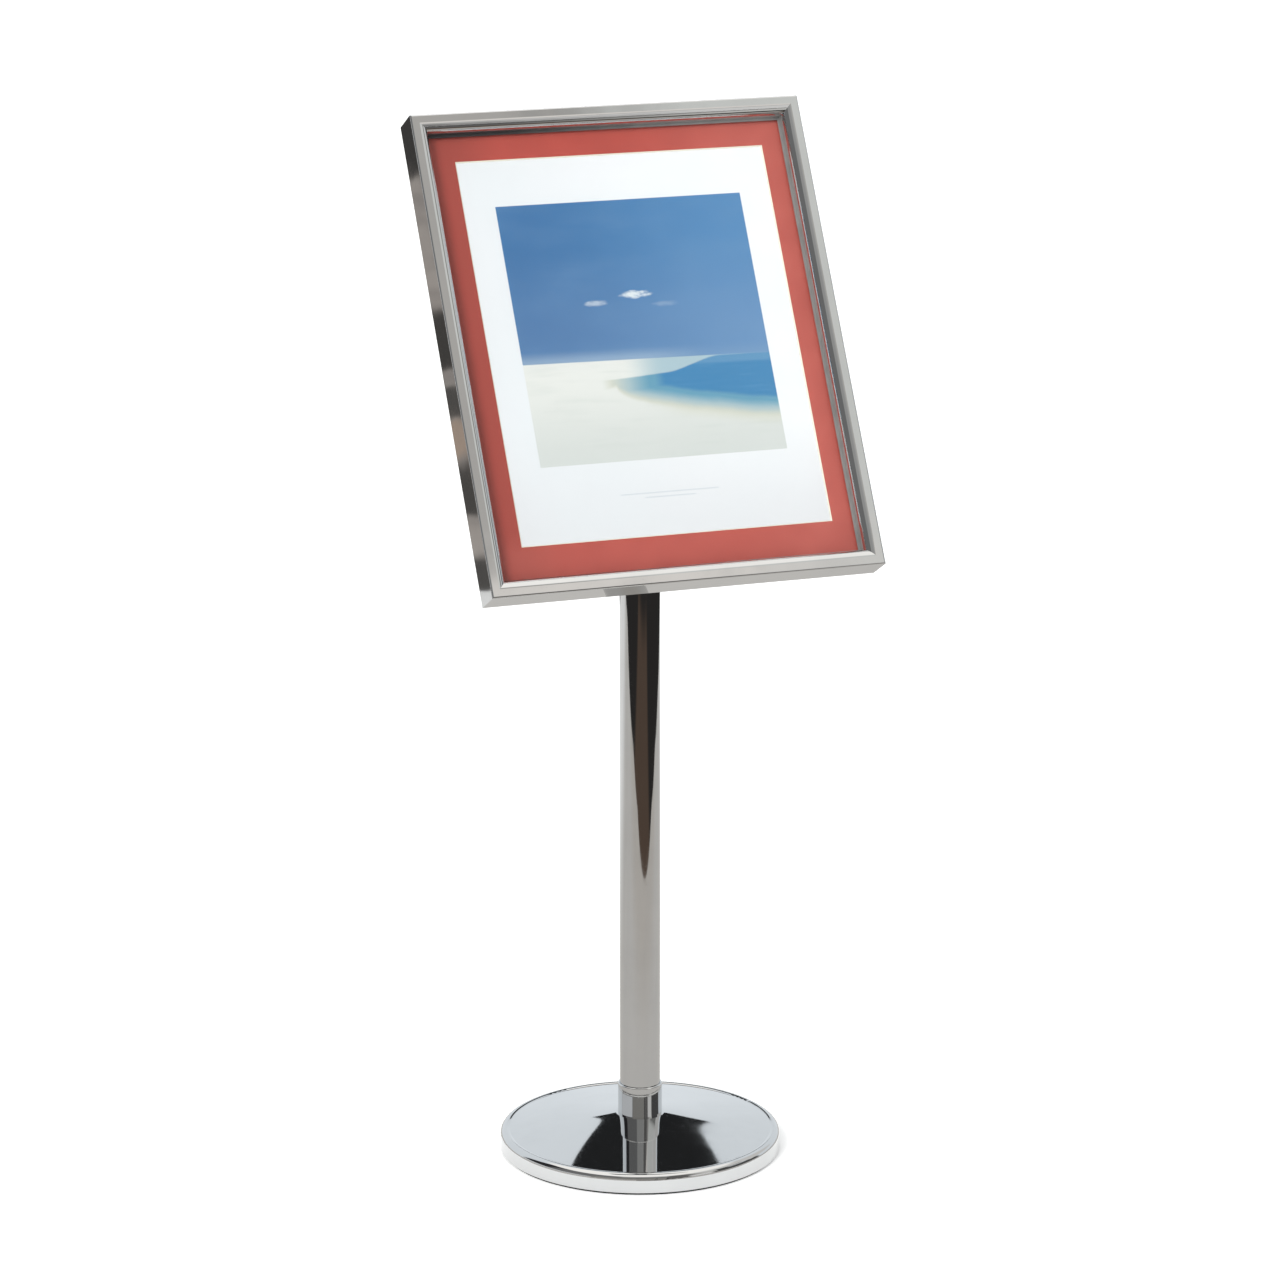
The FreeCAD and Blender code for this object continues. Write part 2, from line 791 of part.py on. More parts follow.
def make_clamp_knob():
    """Moulded six-lobed knob on a hub, with a brass insert and a cap, turning on the pivot bolt."""
    start = f"{EAR_OUTSIDE} + Dims.knob_washer_thick + Dims.knob_gap"
    place = PIVOT.multiply(at(start, "0", "0", FACING_RIGHT))

    body = new_body("clamp_knob")
    hub = new_sketch(body, "XY_Plane")
    draw_circle(hub, "0", "0", "Dims.knob_hub_radius")
    pad(body, hub, "Dims.knob_hub_tall + Dims.overlap")
    grip = new_sketch(body, "XY_Plane", "Dims.knob_hub_tall")
    draw_circle(grip, "0", "0", "Dims.knob_radius")
    pad(body, grip, "Dims.knob_tall - Dims.knob_hub_tall")
    scallop = new_sketch(body, "XY_Plane")
    draw_circle(scallop, "Dims.knob_scallop_centre", "0", "Dims.knob_scallop_radius")
    cut = cut_through(body, scallop)
    doc.recompute()
    pattern = body.newObject("PartDesign::PolarPattern", "clamp_knob_lobes")
    pattern.Originals = [cut]
    pattern.Axis = (grip, ["N_Axis"])
    pattern.Angle = FULL_TURN
    pattern.setExpression("Occurrences", "Dims.knob_lobes")
    body.Tip = pattern
    grip_low = value("Dims.knob_hub_tall") - TOLERANCE
    hub_edge = value("Dims.knob_hub_radius") + TOLERANCE

    def is_lobe_edge(edge):
        heights = [vertex.Z for vertex in edge.Vertexes]
        level = max(heights) - min(heights) < TOLERANCE
        outside = all(math.hypot(vertex.X, vertex.Y) > hub_edge for vertex in edge.Vertexes)
        return level and outside and min(heights) > grip_low

    soften(body, "Fillet", "Radius", "Dims.knob_round", is_lobe_edge)
    bore = new_sketch(body, "XY_Plane")
    draw_circle(bore, "0", "0", "Dims.insert_radius + Dims.hole_clearance")
    cut_through(body, bore)
    recess = new_sketch(body, "XY_Plane", "Dims.knob_tall")
    draw_circle(recess, "0", "0", "Dims.cap_radius + Dims.cap_gap")
    sink = body.newObject("PartDesign::Pocket", "clamp_knob_recess")
    sink.Profile = recess
    sink.setExpression("Length", "Dims.knob_tall - Dims.cap_seat")
    node(body, "clamp_knob", place)

    bore_radius = "Dims.pivot_radius + Dims.hole_clearance"
    insert = turned(
        "knob_insert",
        [
            (bore_radius, "Dims.insert_start"),
            ("Dims.insert_radius", "Dims.insert_start"),
            ("Dims.insert_radius", "Dims.insert_end"),
            (bore_radius, "Dims.insert_end"),
        ],
    )
    node(insert, "knob_insert", place)
    dome = "(Dims.cap_radius ^ 2 + Dims.cap_rise ^ 2) / (2 * Dims.cap_rise)"
    cap = turned(
        "knob_cap",
        [
            ("0", "Dims.cap_seat"),
            ("Dims.cap_radius", "Dims.cap_seat"),
            ("Dims.cap_radius", "Dims.cap_edge", dome, True),
            ("0", "Dims.cap_edge + Dims.cap_rise"),
        ],
    )
    node(cap, "knob_cap", place)


# ------------------------------------------------------------------ frame

KEY_SCREW_HOLE = "Dims.key_screw_radius + Dims.screw_play"
BAR_SCREW_HOLE = "Dims.bar_screw_radius + Dims.screw_play"
RIVET_HOLE = "Dims.rivet_radius + Dims.hole_clearance"
SIDES = {"top": (None, 1), "bottom": (None, -1), "left": (-1, None), "right": (1, None)}


def frame_point(side, end, inward):
    """A point of a mitred rail: at one end, and a distance inward from the frame's outer edge."""
    across, up = SIDES[side]
    across = end if across is None else across
    up = end if up is None else up
    return (
        f"{across} * (Dims.frame_width / 2 - ({inward}))",
        f"Dims.frame_rise + {up} * (Dims.frame_height / 2 - ({inward}))",
    )


def mitred_strip(side, outer, inner):
    """The outline of a rail, seen from the front, between two distances from the outer edge."""
    return [
        frame_point(side, -1, outer),
        frame_point(side, 1, outer),
        frame_point(side, 1, inner),
        frame_point(side, -1, inner),
    ]


def key_screw_places():
    """Two screws into each corner key, one in each of its arms, through the frame's back."""
    places = []
    for across in (-1, 1):
        for up in (-1, 1):
            for from_side, from_end in (
                ("Dims.key_screw_at", "Dims.rail_face / 2"),
                ("Dims.rail_face / 2", "Dims.key_screw_at"),
            ):
                x = f"{across} * (Dims.frame_width / 2 - {from_side})"
                z = f"Dims.frame_rise + {up} * (Dims.frame_height / 2 - {from_end})"
                places.append(at(x, BACK_PLANE, z, FACING_BACK))
    return places


def bar_screw_places():
    """Two screws through each end of the cross bar, into the side rails."""
    return [
        at(
            f"{side} * (Dims.frame_width / 2 - Dims.rail_face / 2)",
            BAR_BACK,
            f"{end} * Dims.bar_screw_z",
            FACING_BACK,
        )
        for side in (-1, 1)
        for end in (-1, 1)
    ]


def rivet_places(side):
    """Three rivets through a panel strip into its rail, facing the middle of the frame."""
    across, up = SIDES[side]
    y = at_depth("Dims.panel_depth + Dims.panel_thick + Dims.strip_size / 2")
    inward = "(Dims.strip_gap + Dims.strip_size)"
    places = []
    for step in (-1, 0, 1):
        if up is None:
            x = f"{across} * ({HALF_OPENING} - {inward})"
            z = f"Dims.frame_rise + {step} * Dims.rivet_step_up"
            facing = FACING_LEFT if across > 0 else FACING_RIGHT
        else:
            x = f"{step} * Dims.rivet_step_across"
            z = f"Dims.frame_rise + {up} * ({HALF_OPENING_TALL} - {inward})"
            facing = FACING_DOWN if up > 0 else FACING_UP
        places.append(at(x, y, z, facing))
    return places


def make_rail(side):
    """Mitred box-section rail, well rounded towards the poster, with a lip for the glazing."""
    label = f"rail_{side}"
    runs_across = side in ("top", "bottom")
    body = new_body(label + "_body")
    outline = new_sketch(body, "XZ_Plane", f"-{at_depth('0')}")
    draw_outline(outline, mitred_strip(side, "0", "Dims.rail_face"))
    pad(body, outline, "Dims.rail_depth", backwards=True)
    axis = "x" if runs_across else "z"

    def runs_at(depth, inward):
        """Tests for long edges at a depth, and a distance inward from the frame's outer edge."""
        y = value(at_depth(depth))
        across, height = (value(place) for place in frame_point(side, 1, inward))

        def test(edge):
            point = edge.Vertexes[0].Point
            level = abs(point.z - height) if runs_across else abs(point.x - across)
            return edge_runs(edge, axis) and abs(point.y - y) < TOLERANCE and level < TOLERANCE

        return test

    face, wall = "Dims.rail_face", "Dims.rail_wall"
    near, far = f"{at_depth('0')} + {wall}", f"{BACK_PLANE} - {wall}"
    low, high = wall, f"{face} - {wall}"
    hollow = new_sketch(body, "YZ_Plane" if runs_across else "XY_Plane")
    if runs_across:
        ends = [frame_point(side, 1, inward)[1] for inward in (low, high)]
        draw_box(hollow, near, far, *ends)
    else:
        ends = [frame_point(side, 1, inward)[0] for inward in (low, high)]
        draw_box(hollow, *ends, near, far)
    cut_through(body, hollow)
    rounds = (("Dims.rail_inner_round", face, high), ("Dims.rail_outer_round", "0", low))
    for size, outside, inside in rounds:
        soften(body, "Fillet", "Radius", f"{size} - {wall}", runs_at(wall, inside))
        soften(body, "Fillet", "Radius", size, runs_at("0", outside))
        soften(body, "Fillet", "Radius", "Dims.rail_back_round", runs_at("Dims.rail_depth", outside))

    lip = new_sketch(body, "XZ_Plane", f"-{at_depth('Dims.lip_depth')}")
    inner = "Dims.rail_face + Dims.lip_width"
    draw_outline(lip, mitred_strip(side, "Dims.rail_face - Dims.overlap", inner))
    pad(body, lip, "Dims.lip_thick", backwards=True)

    if side == "top":
        slot = new_sketch(body, "XY_Plane")
        front = at_depth("Dims.lip_depth + Dims.lip_thick")
        half_slot = f"({HALF_OPENING} - Dims.slot_end)"
        draw_box(slot, f"-{half_slot}", half_slot, front, at_depth("Dims.panel_depth"))
        cut_through(body, slot)

    blank = drilled(label + "_keyed", body, KEY_SCREW_HOLE, key_screw_places())
    blank = drilled(label + "_riveted", blank, RIVET_HOLE, rivet_places(side))
    if not runs_across:
        blank = drilled(label, blank, BAR_SCREW_HOLE, bar_screw_places())
    node(blank, label, PIVOT)


def make_corner_key(up_name, across_name):
    """Flat L-shaped key inside the hollow ends of two rails."""
    label = f"corner_key_{up_name}_{across_name}"
    up, across = SIDES[up_name][1], SIDES[across_name][0]
    body = new_body(label + "_body")
    sketch = new_sketch(body, "XZ_Plane", f"-{at_depth('Dims.key_depth')}")
    near = "(Dims.rail_wall + Dims.key_gap)"
    far = "(Dims.rail_face - Dims.rail_wall - Dims.key_gap)"
    arm = "Dims.key_arm"
    steps = [(near, near), (arm, near), (arm, far), (far, far), (far, arm), (near, arm)]
    corners = [
        (
            f"{across} * (Dims.frame_width / 2 - {from_side})",
            f"Dims.frame_rise + {up} * (Dims.frame_height / 2 - {from_end})",
        )
        for from_side, from_end in steps
    ]
    draw_outline(sketch, corners)
    pad(body, sketch, "Dims.key_thick", backwards=True)
    thread = "Dims.key_screw_radius + Dims.hole_clearance"
    node(drilled(label, body, thread, key_screw_places()), label, PIVOT)


def make_frame():
    for side in SIDES:
        make_rail(side)
    for up_name in ("top", "bottom"):
        for across_name in ("left", "right"):
            make_corner_key(up_name, across_name)
    screw_sizes = [
        "Dims.key_screw_radius",
        "Dims.key_screw_length",
        "Dims.key_screw_head_radius",
        "Dims.key_screw_head",
    ]
    screws = [
        socket_screw(f"corner_screw_{number}", *screw_sizes, place)
        for number, place in enumerate(key_screw_places())
    ]
    node(group("corner_screws", screws), "corner_screws", PIVOT)


def make_cross_bar():
    """Flat bar across the frame's back, with two screws into each side rail."""
    half_wide = "Dims.frame_width / 2 - Dims.bar_inset"
    half_tall = "Dims.bar_tall / 2"
    bar = flat_sheet(
        "cross_bar_body",
        f"-({half_wide})",
        half_wide,
        f"-{half_tall}",
        half_tall,
        "Dims.rail_depth",
        "Dims.bar_thick",
    )
    soften(bar, "Fillet", "Radius", "Dims.bar_round", lambda edge: edge_runs(edge, "y"))
    blank = drilled("cross_bar_ends", bar, BAR_SCREW_HOLE, bar_screw_places())
    blank = drilled("cross_bar", blank, BRACKET_BOLT_HOLE, bracket_bolt_places())
    node(blank, "cross_bar", PIVOT)
    screw_sizes = [
        "Dims.bar_screw_radius",
        "Dims.bar_screw_length",
        "Dims.bar_screw_head_radius",
        "Dims.bar_screw_head",
    ]
    screws = [
        socket_screw(f"cross_bar_screw_{number}", *screw_sizes, place)
        for number, place in enumerate(bar_screw_places())
    ]
    node(group("cross_bar_screws", screws), "cross_bar_screws", PIVOT)


# ------------------------------------------------------------------ glazing, insert and back


def make_glazing():
    half = f"({HALF_OPENING} - Dims.side_gap)"
    sheet_body = flat_sheet(
        "glazing",
        f"-{half}",
        half,
        f"{OPENING_BOTTOM} + Dims.panel_gap",
        f"{OPENING_TOP} - Dims.panel_gap",
        "Dims.glazing_depth",
        "Dims.glazing_thick",
    )
    node(sheet_body, "glazing", PIVOT)


def make_insert():
    """Red mat with a bevelled window, poster behind it, and a stiff board behind both."""
    half = f"({HALF_OPENING} - 2 * Dims.side_gap)"
    low = f"{OPENING_BOTTOM} + Dims.insert_floor_gap"
    high = "Dims.frame_rise + Dims.frame_height / 2 + Dims.insert_proud"
    window = [
        f"-({HALF_OPENING} - Dims.mat_left)",
        f"{HALF_OPENING} - Dims.mat_right",
        f"{OPENING_BOTTOM} + Dims.mat_bottom",
        f"{OPENING_TOP} - Dims.mat_top",
    ]

    mat = flat_sheet("mat_board", f"-{half}", half, low, high, "Dims.mat_depth", "Dims.mat_thick")
    opening = new_sketch(mat, "XZ_Plane")
    draw_box(opening, *window)
    cut_through(mat, opening)
    front = value(at_depth("Dims.mat_depth"))
    right, top = value(window[1]) + TOLERANCE, value(window[3]) + TOLERANCE

    def is_window_edge(edge):
        points = [vertex.Point for vertex in edge.Vertexes]
        on_front = all(abs(point.y - front) < TOLERANCE for point in points)
        return on_front and all(abs(point.x) < right and point.z < top for point in points)

    soften(mat, "Chamfer", "Size", "Dims.mat_bevel", is_window_edge)
    node(mat, "mat_board", PIVOT)

    poster = flat_sheet(
        "poster_sheet",
        f"{window[0]} - Dims.poster_overlap",
        f"{window[1]} + Dims.poster_overlap",
        f"{window[2]} - Dims.poster_overlap",
        f"{window[3]} + Dims.poster_overlap",
        "Dims.mat_depth + Dims.mat_thick",
        "Dims.poster_thick",
    )
    node(poster, "poster_sheet", PIVOT)
    board_depth = "Dims.mat_depth + Dims.mat_thick + Dims.poster_thick"
    board = flat_sheet(
        "backing_board", f"-{half}", half, low, high, board_depth, "Dims.board_thick"
    )
    node(board, "backing_board", PIVOT)


def make_back():
    """Fixed back panel, and four riveted strips that hold it against the frame."""
    half = f"({HALF_OPENING} - Dims.panel_gap)"
    panel = flat_sheet(
        "back_panel",
        f"-{half}",
        half,
        f"{OPENING_BOTTOM} + Dims.panel_gap",
        f"{OPENING_TOP} - Dims.panel_gap",
        "Dims.panel_depth",
        "Dims.panel_thick",
    )
    node(panel, "back_panel", PIVOT)

    depth = "Dims.panel_depth + Dims.panel_thick"
    rivet_sizes = [
        "Dims.rivet_radius",
        "Dims.rivet_length",
        "Dims.rivet_head_radius",
        "Dims.rivet_head",
    ]
    rivets = []
    faces = ["Dims.strip_gap", "(Dims.strip_gap + Dims.strip_size)"]
    for side, (across, up) in SIDES.items():
        blank_name = f"panel_strip_{side}_body"
        if up is None:
            ends = [f"{across} * ({HALF_OPENING} - {inward})" for inward in faces]
            low = f"{OPENING_BOTTOM} + Dims.strip_gap"
            high = f"{OPENING_TOP} - Dims.strip_gap"
            strip = flat_sheet(blank_name, *ends, low, high, depth, "Dims.strip_size")
        else:
            wide = f"({HALF_OPENING} - Dims.panel_gap - Dims.strip_size)"
            ends = [
                f"Dims.frame_rise + {up} * ({HALF_OPENING_TALL} - {inward})" for inward in faces
            ]
            strip = flat_sheet(blank_name, f"-{wide}", wide, *ends, depth, "Dims.strip_size")
        label = f"panel_strip_{side}"
        node(drilled(label, strip, RIVET_HOLE, rivet_places(side)), label, PIVOT)
        for number, place in enumerate(rivet_places(side)):
            rivets.append(rivet(f"strip_rivet_{side}_{number}", *rivet_sizes, place))
    node(group("strip_rivets", rivets), "strip_rivets", PIVOT)


make_floor_pad()
make_base_weight()
make_base_cover()
make_base_fasteners()
make_collar()
make_post()
make_tilt_head()
make_pivot_bracket()
make_bracket_bolts()
make_pivot_hardware()
make_clamp_knob()
make_frame()
make_cross_bar()
make_glazing()
make_insert()
make_back()
doc.recompute()

failed = [
    thing.Name
    for thing in doc.Objects
    if any(mark in state for state in thing.State for mark in ("Invalid", "Error"))
]
for thing in nodes:
    if thing.Shape.isNull() or not thing.Shape.isValid() or not thing.Shape.Solids:
        failed.append(thing.Label)
if failed:
    raise RuntimeError("these objects failed: " + ", ".join(failed))

os.makedirs("parts", exist_ok=True)
for thing in nodes:
    thing.Shape.exportStep(f"parts/{thing.Label}.step")
    solids = len(thing.Shape.Solids)
    print(f"{thing.Label}: {solids} solids, {thing.Shape.Volume / 1000:.2f} cm3")
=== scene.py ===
import json
import math

import bpy
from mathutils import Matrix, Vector


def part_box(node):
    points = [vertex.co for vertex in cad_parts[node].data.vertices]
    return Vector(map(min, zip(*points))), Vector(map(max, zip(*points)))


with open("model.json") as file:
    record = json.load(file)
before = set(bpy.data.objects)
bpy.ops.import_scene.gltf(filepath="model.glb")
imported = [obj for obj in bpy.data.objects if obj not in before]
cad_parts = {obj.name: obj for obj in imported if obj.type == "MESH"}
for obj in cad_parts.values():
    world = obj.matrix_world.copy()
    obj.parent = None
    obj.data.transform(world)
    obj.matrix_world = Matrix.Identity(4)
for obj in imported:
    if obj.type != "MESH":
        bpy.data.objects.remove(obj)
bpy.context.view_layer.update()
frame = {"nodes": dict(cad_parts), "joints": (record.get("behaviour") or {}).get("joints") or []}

# Pedestal sign stand in polished chrome with a matted seaside poster. Metres, +Z up, the floor at
# z = 0, the post on the Z axis and the poster facing -Y. The CAD nodes keep their shapes and places;
# this script gives them their finishes and sets up the studio round them.

NODES = frame["nodes"]
MM = 0.001

# ------------------------------------------------------------------ places, from the frame

joints = {joint["name"]: joint for joint in frame["joints"]}
UP_FRAME = Vector(joints["insert_lift"]["axis"]).normalized()
TILT = math.acos(UP_FRAME.z)
IN_FRAME = (TILT, 0, 0)  # the turn that stands the leaning frame upright
FRAME_FRONT = Vector((0, -math.cos(TILT), math.sin(TILT)))
FLOOR_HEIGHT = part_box("floor_pad")[0].z


# ------------------------------------------------------------------ shader building


def srgb(red, green, blue):
    """A display colour, 0 to 255 a channel, as the linear colour that shaders take."""
    channels = []
    for channel in (red, green, blue):
        share = channel / 255
        channels.append(share / 12.92 if share <= 0.04045 else ((share + 0.055) / 1.055) ** 2.4)
    return (*channels, 1.0)


class Nodes:
    """A node tree under construction. Where a value is asked for, a node's output will do."""

    def __init__(self, tree):
        self.tree = tree
        self.tree.nodes.clear()

    def node(self, kind, settings=None, **sockets):
        """A shader node; sockets are set to a value or linked to another node's output."""
        made = self.tree.nodes.new("ShaderNode" + kind)
        for name, setting in (settings or {}).items():
            setattr(made, name, setting)
        for name, given in sockets.items():
            self.feed(made.inputs[name.replace("_", " ")], given)
        return made

    def feed(self, socket, given):
        if isinstance(given, bpy.types.NodeSocket):
            self.link(given, socket)
        else:
            socket.default_value = given

    def link(self, source, target):
        self.tree.links.new(source, target)

    def math(self, operation, first, second=0.0, clamp=False):
        made = self.node("Math", {"operation": operation, "use_clamp": clamp})
        self.feed(made.inputs[0], first)
        self.feed(made.inputs[1], second)
        return made.outputs[0]

    def span(self, given, low, high, to_low=0.0, to_high=1.0, smooth=True):
        """A value mapped from one span to another, clamped at both ends."""
        kind = "SMOOTHSTEP" if smooth else "LINEAR"
        made = self.node("MapRange", {"interpolation_type": kind}, Value=given, From_Min=low,
                         From_Max=high, To_Min=to_low, To_Max=to_high)
        return made.outputs["Result"]

    def band(self, given, low, high, soft):
        """1 between low and high, falling to 0 over soft on each side of both."""
        return self.math("MULTIPLY", self.span(given, low - soft, low + soft),
                         self.span(given, high + soft, high - soft))

    def mix(self, factor, first, second):
        """Two colours mixed. A Mix node has its colours at inputs 6 and 7 and at output 2."""
        made = self.node("Mix", {"data_type": "RGBA"})
        self.feed(made.inputs[0], factor)
        self.feed(made.inputs[6], first)
        self.feed(made.inputs[7], second)
        return made.outputs[2]


class Finish(Nodes):
    """A material under construction, round one Principled surface."""

    def __init__(self, name, **sockets):
        self.material = bpy.data.materials.new(name)
        self.material.use_nodes = True
        super().__init__(self.material.node_tree)
        self.output = self.node("OutputMaterial")
        self.surface = self.node("BsdfPrincipled", **sockets)
        self.link(self.surface.outputs["BSDF"], self.output.inputs["Surface"])
        self.place = self.node("TexCoord").outputs["Object"]

    def set(self, **sockets):
        for name, given in sockets.items():
            self.feed(self.surface.inputs[name.replace("_", " ")], given)

    def resurface(self, shader):
        """Puts another shader in place of the Principled one."""
        self.link(shader, self.output.inputs["Surface"])
        self.tree.nodes.remove(self.surface)

    def mapped(self, place=None, scale=(1, 1, 1), turn=(0, 0, 0), shift=(0, 0, 0)):
        made = self.node("Mapping", Vector=place or self.place, Scale=scale, Rotation=turn,
                         Location=shift)
        return made.outputs["Vector"]

    def noise(self, scale, detail=3.0, roughness=0.5, place=None):
        made = self.node("TexNoise", Vector=place or self.place, Scale=scale, Detail=detail,
                         Roughness=roughness)
        return made.outputs["Fac"]

    def bump(self, height, distance, under=None):
        made = self.node("Bump", Height=height, Distance=distance)
        if under is not None:
            self.link(under, made.inputs["Normal"])
        return made.outputs["Normal"]

    def alignment(self, first, second):
        """The dot product of two directions."""
        made = self.node("VectorMath", {"operation": "DOT_PRODUCT"})
        self.feed(made.inputs[0], first)
        self.feed(made.inputs[1], second)
        return made.outputs["Value"]

    def wear(self, radius, low=0.02, high=0.12):
        """Rises from 0 to 1 on outer and inner edges narrower than the radius."""
        rounded = self.node("Bevel", {"samples": 4}, Radius=radius).outputs["Normal"]
        straight = self.node("NewGeometry").outputs["Normal"]
        return self.span(self.math("SUBTRACT", 1.0, self.alignment(rounded, straight)), low, high)


def dress(material, *names):
    """Gives the finish to every material slot of these CAD nodes."""
    for name in names:
        for place in NODES[name].material_slots:
            place.material = material


# ------------------------------------------------------------------ metals


CHROME = (0.615, 0.62, 0.622, 1)
CHROME_SMEARED = (*(0.94 * channel for channel in CHROME[:3]), 1)
BARE_ROUGHNESS = 0.42


def chrome(name, wave, wave_size, turn=(0, 0, 0), grain=(1, 1, 1), masked=None):
    """Bright chrome plate: slight waves in the steel below, polishing lines, and faint smears.

    The waves are so many millimetres high and metres long. A function of the finish may mask part
    of the plate: it gives where the steel is bare, and its colour with painted shade and light.
    """
    finish = Finish(name, Metallic=1.0)
    place = finish.mapped(turn=turn)
    smears = finish.noise(9, 4, 0.6, place)
    specks = finish.noise(420, 2, 0.5, place)
    lines = finish.noise(160, 3, 0.6, finish.mapped(place, scale=grain))
    colour = finish.mix(finish.span(smears, 0.35, 0.75), CHROME, CHROME_SMEARED)
    rough = finish.math("ADD", finish.span(smears, 0.45, 0.8, 0.035, 0.085),
                        finish.math("MULTIPLY", finish.span(specks, 0.62, 0.78), 0.06))
    if masked:
        # the bare steel's colour carries painted shade and light
        bare, bare_colour_with_shade = masked(finish)
        colour = finish.mix(bare, colour, bare_colour_with_shade)
        rough = finish.math("MAXIMUM", rough, finish.math("MULTIPLY", bare, BARE_ROUGHNESS))
        finish.set(Metallic=finish.math("SUBTRACT", 1.0, bare))
    waved = finish.bump(finish.noise(1 / wave_size, 1, 0.3, place), wave * MM)
    finish.set(Base_Color=colour, Roughness=rough,
               Normal=finish.bump(lines, 0.002 * MM, under=waved))
    return finish.material


def zinc(name):
    """Bright zinc plate on the screws, bolts and washers: a warm bloom and dull patches."""
    finish = Finish(name, Metallic=1.0)
    patches = finish.noise(140, 4, 0.65)
    bloom = finish.noise(45, 2, 0.5)
    grey, warm = srgb(196, 199, 202), srgb(205, 198, 176)
    finish.set(
        Base_Color=finish.mix(finish.span(bloom, 0.4, 0.7), grey, warm),
        Roughness=finish.span(patches, 0.3, 0.75, 0.2, 0.42),
        Normal=finish.bump(finish.noise(900, 2), 0.02 * MM),
    )
    return finish.material


def dark_steel(name):
    """Black oxide on machined steel, worn to bare metal along the edges."""
    finish = Finish(name)
    patches = finish.noise(60, 4, 0.6)
    grit = finish.noise(1100, 3, 0.7)
    worn = finish.math("MULTIPLY", finish.wear(0.8 * MM), finish.span(patches, 0.35, 0.65))
    black = finish.mix(finish.span(patches, 0.3, 0.7), srgb(26, 27, 29), srgb(44, 44, 45))
    finish.set(
        Base_Color=finish.mix(worn, black, srgb(150, 150, 148)),
        Metallic=finish.math("ADD", 0.35, finish.math("MULTIPLY", worn, 0.6)),
        Roughness=finish.math("SUBTRACT", finish.span(patches, 0.3, 0.7, 0.38, 0.56),
                              finish.math("MULTIPLY", worn, 0.12)),
        Normal=finish.bump(grit, 0.03 * MM),
    )
    return finish.material


def cast_iron(name):
    """Rough black-painted casting."""
    finish = Finish(name)
    pits = finish.noise(260, 5, 0.7)
    finish.set(
        Base_Color=finish.mix(finish.span(pits, 0.35, 0.7), srgb(38, 38, 40), srgb(58, 56, 55)),
        Roughness=finish.span(pits, 0.3, 0.8, 0.55, 0.85),
        Normal=finish.bump(pits, 0.35 * MM),
    )
    return finish.material


def aluminium(name, turn):
    """Mill-finish aluminium strip with drawing lines along it and a soft grey oxide."""
    finish = Finish(name, Metallic=1.0)
    place = finish.mapped(turn=turn)
    oxide = finish.noise(30, 4, 0.6, place)
    lines = finish.noise(300, 3, 0.7, finish.mapped(place, scale=(0.04, 1, 1)))
    finish.set(
        Base_Color=finish.mix(finish.span(oxide, 0.3, 0.7), srgb(205, 207, 209), srgb(178, 181, 184)),
        Roughness=finish.span(lines, 0.3, 0.7, 0.26, 0.4),
        Normal=finish.bump(lines, 0.012 * MM),
    )
    return finish.material


def brass(name):
    """Turned brass, dulled in patches."""
    finish = Finish(name, Metallic=1.0)
    tarnish = finish.noise(220, 4, 0.6)
    finish.set(
        Base_Color=finish.mix(finish.span(tarnish, 0.4, 0.7), srgb(214, 178, 96), srgb(158, 122, 62)),
        Roughness=finish.span(tarnish, 0.3, 0.7, 0.22, 0.4),
        Normal=finish.bump(finish.noise(800, 2), 0.01 * MM),
    )
    return finish.material


# ------------------------------------------------------------------ rubber, plastic and boards


def rubber(name):
    """Black rubber, greyed by dust."""
    finish = Finish(name)
    grain = finish.noise(700, 3, 0.6)
    dust = finish.noise(35, 5, 0.6)
    finish.set(
        Base_Color=finish.mix(finish.span(dust, 0.5, 0.8), srgb(28, 28, 29), srgb(64, 62, 60)),
        Roughness=finish.span(dust, 0.3, 0.8, 0.68, 0.9),
        Normal=finish.bump(grain, 0.08 * MM),
    )
    return finish.material


def black_plastic(name):
    """Moulded black nylon: fine spark-eroded grain, rubbed glossier on the lobes."""
    finish = Finish(name)
    rubbed = finish.wear(3 * MM, 0.01, 0.2)
    grain = finish.node("TexVoronoi", Vector=finish.place, Scale=1500.0).outputs["Distance"]
    tone = finish.noise(50, 3, 0.5)
    finish.set(
        Base_Color=finish.mix(finish.span(tone, 0.3, 0.7), srgb(24, 25, 27), srgb(36, 36, 38)),
        Roughness=finish.math("SUBTRACT", finish.span(tone, 0.3, 0.7, 0.42, 0.52),
                              finish.math("MULTIPLY", rubbed, 0.16)),
        Normal=finish.bump(grain, 0.035 * MM),
    )
    return finish.material


def fibre(name):
    """Brown-red vulcanised fibre washers."""
    finish = Finish(name)
    strands = finish.noise(500, 4, 0.7, finish.mapped(scale=(1, 0.3, 0.3)))
    finish.set(
        Base_Color=finish.mix(finish.span(strands, 0.3, 0.7), srgb(112, 52, 40), srgb(142, 74, 56)),
        Roughness=finish.span(strands, 0.3, 0.7, 0.55, 0.75),
        Normal=finish.bump(strands, 0.03 * MM),
    )
    return finish.material


